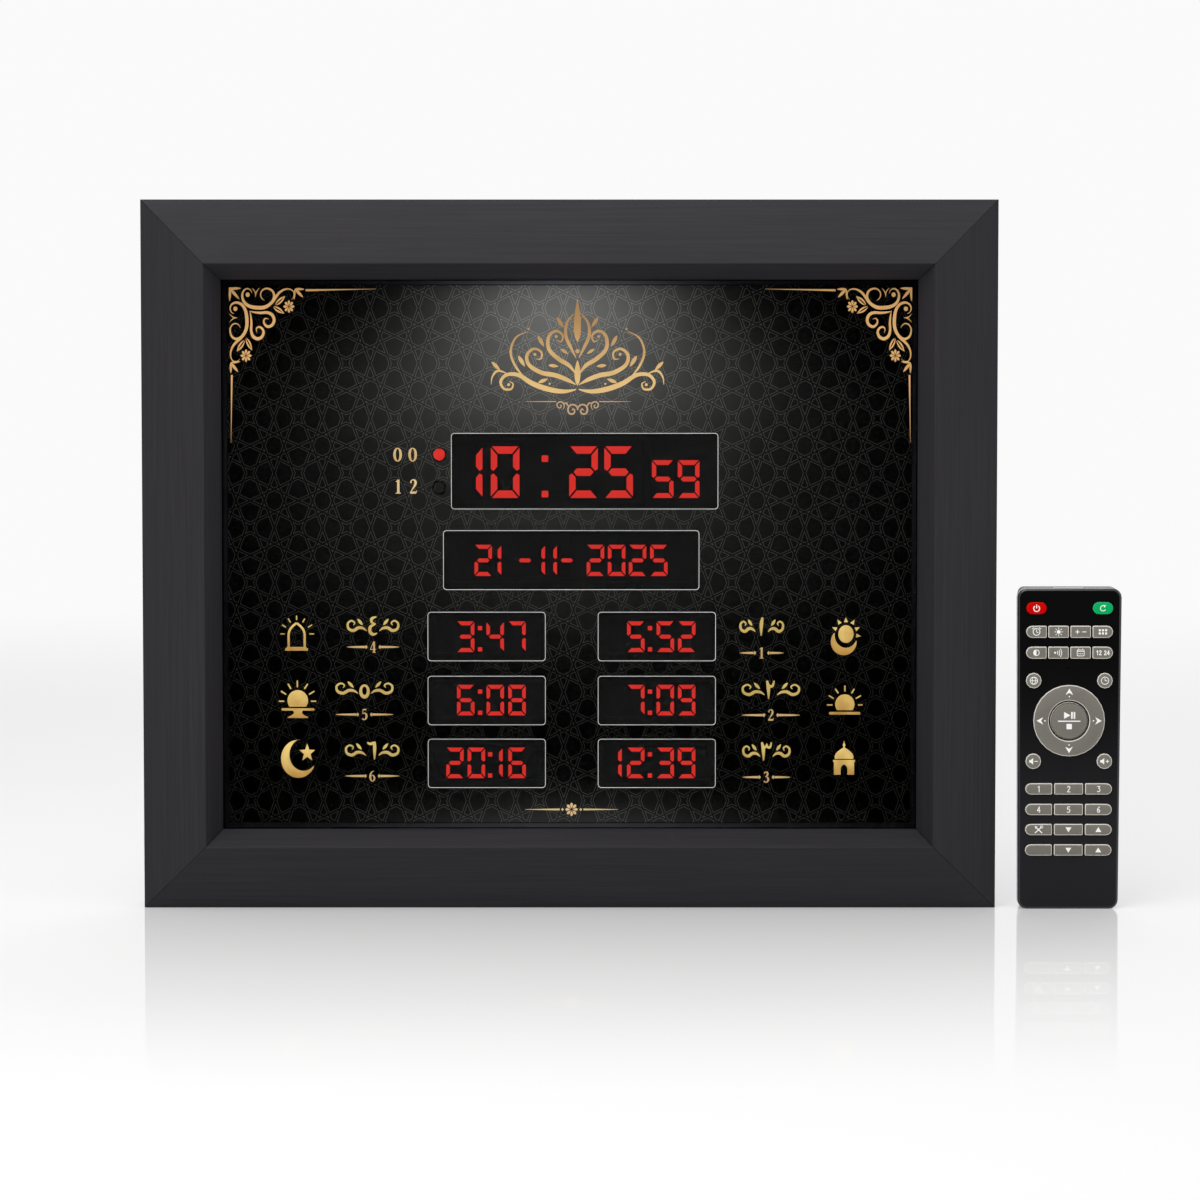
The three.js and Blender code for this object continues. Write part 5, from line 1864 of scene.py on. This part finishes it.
# White signs of the keys, as shapes that an Inlay draws
SIGNS: dict[str, tuple[tuple, ...]] = {
    "power_key": (("pen", OPEN_RING, 0.45), ("bar", 0, 0.1, 0, 1.75, 0.45)),
    "reset_key": (("pen", arc(0, 0, 1.35, 1.35, 60, 330, 16), 0.38), ("arrow", 0.85, 1.2, -60, 1.3)),
    "function_key_1": (("loop", 0, 0, 1.9, 1.9, 0.38), ("line", [(0, 1.1), (0, 0), (0.8, -0.5)], 0.34),
                       ("bar", -2.0, 1.5, -1.3, 2.1, 0.4), ("bar", 2.0, 1.5, 1.3, 2.1, 0.4)),
    "function_key_2": (("dot", 0, 0, 0.95), *(
        ("bar", 1.45 * math.cos(turn), 1.45 * math.sin(turn), 2.05 * math.cos(turn), 2.05 * math.sin(turn),
         0.32)
        for turn in (i * math.pi / 4 for i in range(8)))),
    "function_key_3": (("bar", -2.6, 0, -0.8, 0, 0.42), ("bar", -1.7, -0.9, -1.7, 0.9, 0.42),
                       ("bar", 0.8, 0, 2.6, 0, 0.42)),
    "function_key_4": tuple(
        ("box", x, z, 1.05, 1.05, 0.15, 2) for x in (-1.6, 0.0, 1.6) for z in (-0.8, 0.8)),
    "function_key_5": (("loop", 0, 0, 1.6, 1.6, 0.34), ("area", arc(0, 0, 1.3, 1.3, 90, 270, 14))),
    "function_key_6": (("dot", -1.7, 0, 0.5, None, 14), *(
        ("pen", arc(-1.7, 0, radius, radius, -38, 38, 8), 0.36) for radius in (1.3, 2.3, 3.3))),
    "function_key_7": (("ring", rounded_box(0, -0.1, 3.8, 3.3, 0.4, 2), 0.32),
                       ("bar", -1.7, 0.7, 1.7, 0.7, 0.34),
                       *(("dot", x, -0.5, 0.28, None, 10) for x in (-0.9, 0.0, 0.9)),
                       *(("bar", x, 1.3, x, 2.0, 0.32) for x in (-1.0, 1.0))),
    "function_key_8": (("figures", "12", -2.0), ("figures", "24", 2.0)),
    "round_key_1": (("loop", 0, 0, 2.0, 2.0, 0.34), ("loop", 0, 0, 0.95, 2.0, 0.3),
                    ("bar", -1.8, 0, 1.8, 0, 0.3)),
    "round_key_2": (("loop", 0, 0, 2.0, 2.0, 0.34), ("line", [(0, 1.2), (0, 0), (1.0, 0)], 0.34)),
    "round_key_3": (LOUDSPEAKER, LOUDSPEAKER_MINUS),
    "round_key_4": (LOUDSPEAKER, LOUDSPEAKER_MINUS, ("bar", 1.475, -0.72, 1.475, 0.72, 0.38)),
    "option_key_7": (("bar", -1.7, -1.6, 1.3, 1.2, 0.5), ("bar", 1.7, -1.6, -1.0, 0.9, 0.5),
                     ("arrow", -1.5, 1.4, 45, 1.3), ("ring", arc(1.55, 1.4, 0.75, 0.75, 0, 330, 11), 0.3)),
    **{f"option_key_{number}": (("arrow", 0, 0, turn, 2.6),)
       for number, turn in ((8, 180), (9, 0), (11, 180), (12, 0))},
    **{f"option_key_{number}": (("figures", str(number)),) for number in range(1, 7)},
}
SET_SIGN = (
    ("area", [(-2.6, 4.5), (0.6, 2.75), (-2.6, 1.0)]),
    *(("box", *box, 2) for box in ((1.35, 2.75, 0.8, 3.5, 0.15), (2.6, 2.75, 0.8, 3.5, 0.15),
                                   (0, -0.2, 11.4, 0.55, 0.2), (0, -2.9, 2.7, 2.7, 0.25))),
)
RING_SIGN = tuple(
    sign for turn in (0, 90, 180, 270)
    for x, z in ((-14.7 * math.sin(math.radians(turn)), 14.7 * math.cos(math.radians(turn))),)
    for sign in (("arrow", x, z, turn, 3.3, NOTCHED_ARROW), ("dot", x * 0.83, z * 0.83, 0.38, None, 12))
)


@dataclass
class RemoteControl(Assembly):
    """The remote control: shells, rounded keys with their white signs, ring, and what is inside."""

    middle: float = 251.4
    front: float = -10.0
    key_front: float = -11.0
    ring_front: float = -11.2
    near: float = 0.05
    face_reach: float = 23.4
    face_levels: Span = (1.7, 160.3)
    rear_rim: float = 7.5
    rear_reach: float = 20.0
    rear_levels: Span = (5.0, 157.0)
    door_back: float = 10.4
    grip_proud: float = 0.35
    grip_top: float = 24.0
    grip_pitch: float = 1.5
    grip_reach: float = 6.5
    grip_step: float = 0.9
    sign_proud: float = 0.05
    sign_sunk: float = 0.02
    key_round: float = 0.38

    def build(self) -> None:
        """Builds the remote's pieces and dresses its nodes."""
        self._shells()
        self._keys()
        for key, shapes in SIGNS.items():
            self._sign(f"{key}_sign", key, self.key_front, shapes)
        self._sign("nav_ring_sign", Body.RING.value, self.ring_front, RING_SIGN)
        self._sign("set_key_sign", Body.SET.value, self.ring_front, SET_SIGN)
        low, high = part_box(Body.SET.value)
        radius = (high.x - low.x) * 0.5 / MM - 0.1
        self._sign("set_key_seam", Body.SET.value, self.ring_front,
                   (("loop", 0, 0, radius, radius, 0.3),), "jack", Slot.KEY)
        self.dress({"nav_rocker_pad": "rubber", "remote_keypad_mat": "rubber",
                    "remote_circuit_board": "board", "remote_ir_window": "infrared",
                    "battery_cell_left": "cell", "battery_cell_right": "cell"})

    def _shells(self) -> None:
        """Replaces the shells and the door by eased copies, with grip ridges on the door."""
        middle, front = self.middle, self.front + self.near

        def outside(m: Vector, reach: float, levels: Span) -> bool:
            """Tells whether an edge lies outside a box round the remote's middle."""
            return abs(m.x - middle) > reach or not levels[0] < m.z < levels[1]

        def rim(m: Vector) -> bool:
            """Tells whether an edge lies on the face's outline."""
            return m.y < front and outside(m, self.face_reach, self.face_levels)

        def rear(m: Vector) -> bool:
            """Tells whether an edge lies on the back's outline."""
            return m.y > self.rear_rim and outside(m, self.rear_reach, self.rear_levels)

        self.soften("remote_front_shell", "remote_face_shell", "gloss", Slot.GLOSS, Rounding(0.42, rim, 4),
                    Rounding(0.12, lambda m: m.y < front and not rim(m), 1))
        self.soften("remote_back_shell", "remote_rear_shell", "matt", Slot.MATT, Rounding(0.8, rear, 4))
        self.soften("remote_battery_door", "battery_door_lid", "matt", Slot.MATT,
                    Rounding(0.3, lambda m: m.y > self.door_back, 2))
        ridges = Inlay(self.door_back + self.grip_proud, self.door_back)
        for i in range(6):
            ridges.box(middle, self.grip_top - i * self.grip_pitch,
                       2 * (self.grip_reach - i * self.grip_step), 0.7, 0.34, 3)
        ridges.finish("battery_door_grip", self.finishes["matt"], Slot.MATT, Body.DOOR.value)

    def _keys(self) -> None:
        """Replaces each key by a copy with a rounded front edge."""
        finishes = {"power_key": ("key_red", Slot.KEY_RED), "reset_key": ("key_green", Slot.KEY_GREEN)}
        for name in self.frame["nodes"]:
            if not (name.endswith("_key") or "_key_" in name or name == "nav_ring"):
                continue
            finish, slot = finishes.get(name, ("key", Slot.KEY))
            front = self.near + (self.ring_front if name in ("nav_ring", "set_key") else self.key_front)
            self.soften(name, f"{name}_cap", finish, slot,
                        Rounding(self.key_round, lambda m, front=front: m.y < front))

    def _sign(
        self, name: str, node: str, front: float, shapes: Sequence[tuple], finish: str = "legend",
        slot: Slot = Slot.LEGEND,
    ) -> None:
        """Makes the print on one key, with the key's middle as origin.

        Args:
            name: The piece's name.
            node: The key's node, which has its body's name.
            front: The level of the key's face.
            shapes: What to draw.
            finish: The name of its finish.
            slot: The record's slot.
        """
        low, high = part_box(node)
        middle = (low + high) * (0.5 / MM)
        sign = Inlay(front - self.sign_proud, front + self.sign_sunk, 1.0, (middle.x, middle.z))
        sign.draw(shapes)
        sign.finish(name, self.finishes[finish], slot, node)


# Studio


@dataclass(frozen=True)
class PhotoCamera:
    """The photograph's camera: a little lower than the clock's top and far away. It clips in metres."""

    place: tuple[float, float, float] = (15.32, -2500.0, 330.34)
    pitch_down: float = 3.9987
    lens: float = 149.006
    sensor: float = 36.0
    nearest: float = 0.05
    farthest: float = 60.0

    def build(self) -> None:
        """Creates the camera and makes it the scene's own."""
        data = bpy.data.cameras.new("photo_camera")
        data.lens, data.sensor_width = self.lens, self.sensor
        data.clip_start, data.clip_end = self.nearest, self.farthest
        camera = linked("photo_camera", data)
        camera.location = [part * MM for part in self.place]
        camera.rotation_euler = (math.radians(90 - self.pitch_down), 0, 0)
        bpy.context.scene.camera = camera


@dataclass(frozen=True)
class SoftLamp:
    """A large square lamp that looks at the clock; places and size in metres."""

    name: str
    place: tuple[float, float, float]
    aim: tuple[float, float, float]
    size: float
    watts: float

    def build(self) -> None:
        """Creates the lamp."""
        data = bpy.data.lights.new(self.name, "AREA")
        data.shape, data.size, data.energy = "SQUARE", self.size, self.watts
        lamp = linked(self.name, data)
        lamp.location = self.place
        lamp.rotation_euler = (Vector(self.aim) - Vector(self.place)).to_track_quat("-Z", "Y").to_euler()


@dataclass(frozen=True)
class Studio:
    """A white sweep: pale floor, pale surroundings and soft lamps. Its sizes are in metres."""

    backdrop: int = 0xFAFAFA
    ambient: float = 0.46
    floor_radius: float = 12.0
    lit_radius: float = 0.9
    fade_radius: float = 2.2
    near_white: float = 0.25
    floor_grey: float = 0.8
    floor_roughness: float = 0.9
    polish_roughness: float = 0.004
    polish_reach: float = 0.55
    polish_bend: float = 1.25
    lamps: tuple[SoftLamp, ...] = (
        SoftLamp("key_lamp", (-0.6, -1.5, 1.5), (0.03, 0.0, 0.15), 1.3, 17.0),
        SoftLamp("fill_lamp", (1.6, -1.4, 0.7), (0.05, 0.0, 0.18), 1.2, 3.5),
        SoftLamp("top_lamp", (-0.25, -0.45, 2.0), (0.03, 0.0, 0.15), 1.2, 18.0),
        SoftLamp("rear_lamp", (0.4, 2.0, 1.7), (0.0, 0.0, 0.18), 1.4, 18.0),
    )

    def build(self) -> None:
        """Sets up the view, the surroundings, the floor and the lamps."""
        bpy.context.scene.view_settings.view_transform = "Standard"
        self._surroundings()
        self._floor()
        for lamp in self.lamps:
            lamp.build()

    @staticmethod
    def _path_share(graph: Graph) -> bpy.types.NodeSocket:
        """Gives 1 for rays from the camera, from gloss and through glass."""
        path = graph.node("LightPath").outputs
        seen = graph.math("MAXIMUM", path["Is Camera Ray"], path["Is Glossy Ray"])
        return graph.math("MAXIMUM", seen, path["Is Transmission Ray"])

    def _surroundings(self) -> None:
        """Makes a world that is white where it is seen and gives even light elsewhere."""
        world = bpy.data.worlds.new("white_surroundings")
        world.use_nodes = True
        world.node_tree.nodes.clear()
        graph = Graph(world.node_tree)
        shown, light = graph.node("Background"), graph.node("Background")
        graph.feed(shown.inputs[0], self.backdrop)
        graph.feed(light.inputs[0], 0xFFFFFF)
        graph.feed(light.inputs[1], self.ambient)
        both = graph.blend(self._path_share(graph), light.outputs[0], shown.outputs[0])
        graph.feed(graph.node("OutputWorld").inputs[0], both)
        bpy.context.scene.world = world

    def _floor(self) -> None:
        """Makes a round floor, polished near the product and plain white far from it."""
        paint = Paint("white_floor")
        place = paint.place()
        ahead = paint.math("DIVIDE", paint.math("ABSOLUTE", paint.part(place, 1)), self.polish_reach)
        fade = paint.math("POWER", paint.math("SUBTRACT", 1.0, ahead, clamp=True), self.polish_bend)
        grey = self.floor_grey
        paint.shade(Base_Color=(grey, grey, grey, 1.0), Roughness=self.floor_roughness,
                    Specular_IOR_Level=0.0, Coat_Roughness=self.polish_roughness, Coat_Weight=fade)
        white = paint.node("Emission")
        paint.feed(white.inputs[0], self.backdrop)
        far = paint.spread(paint.vector("LENGTH", place, result=1), (self.lit_radius, self.fade_radius),
                           (self.near_white, 1.0))
        share = paint.math("MULTIPLY", far, self._path_share(paint))
        paint.give(paint.output, Surface=paint.blend(share, paint.shader.outputs[0], white.outputs[0]))
        bm = bmesh.new()
        bmesh.ops.create_circle(bm, cap_ends=True, radius=self.floor_radius, segments=96)
        floor = mesh_object(bm, "white_floor", paint.material)


def main() -> None:
    """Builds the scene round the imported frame."""
    logging.basicConfig(level=logging.INFO, format="%(name)s: %(message)s")
    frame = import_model()
    PhotoCamera().build()
    Studio().build()
    low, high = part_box("battery_cell_left")
    finishes = build_finishes((low.z / MM, high.z / MM))
    for assembly in (Moulding, Dial, BackSide, RemoteControl):
        assembly(frame, finishes).build()


if __name__ == "__main__":
    main()
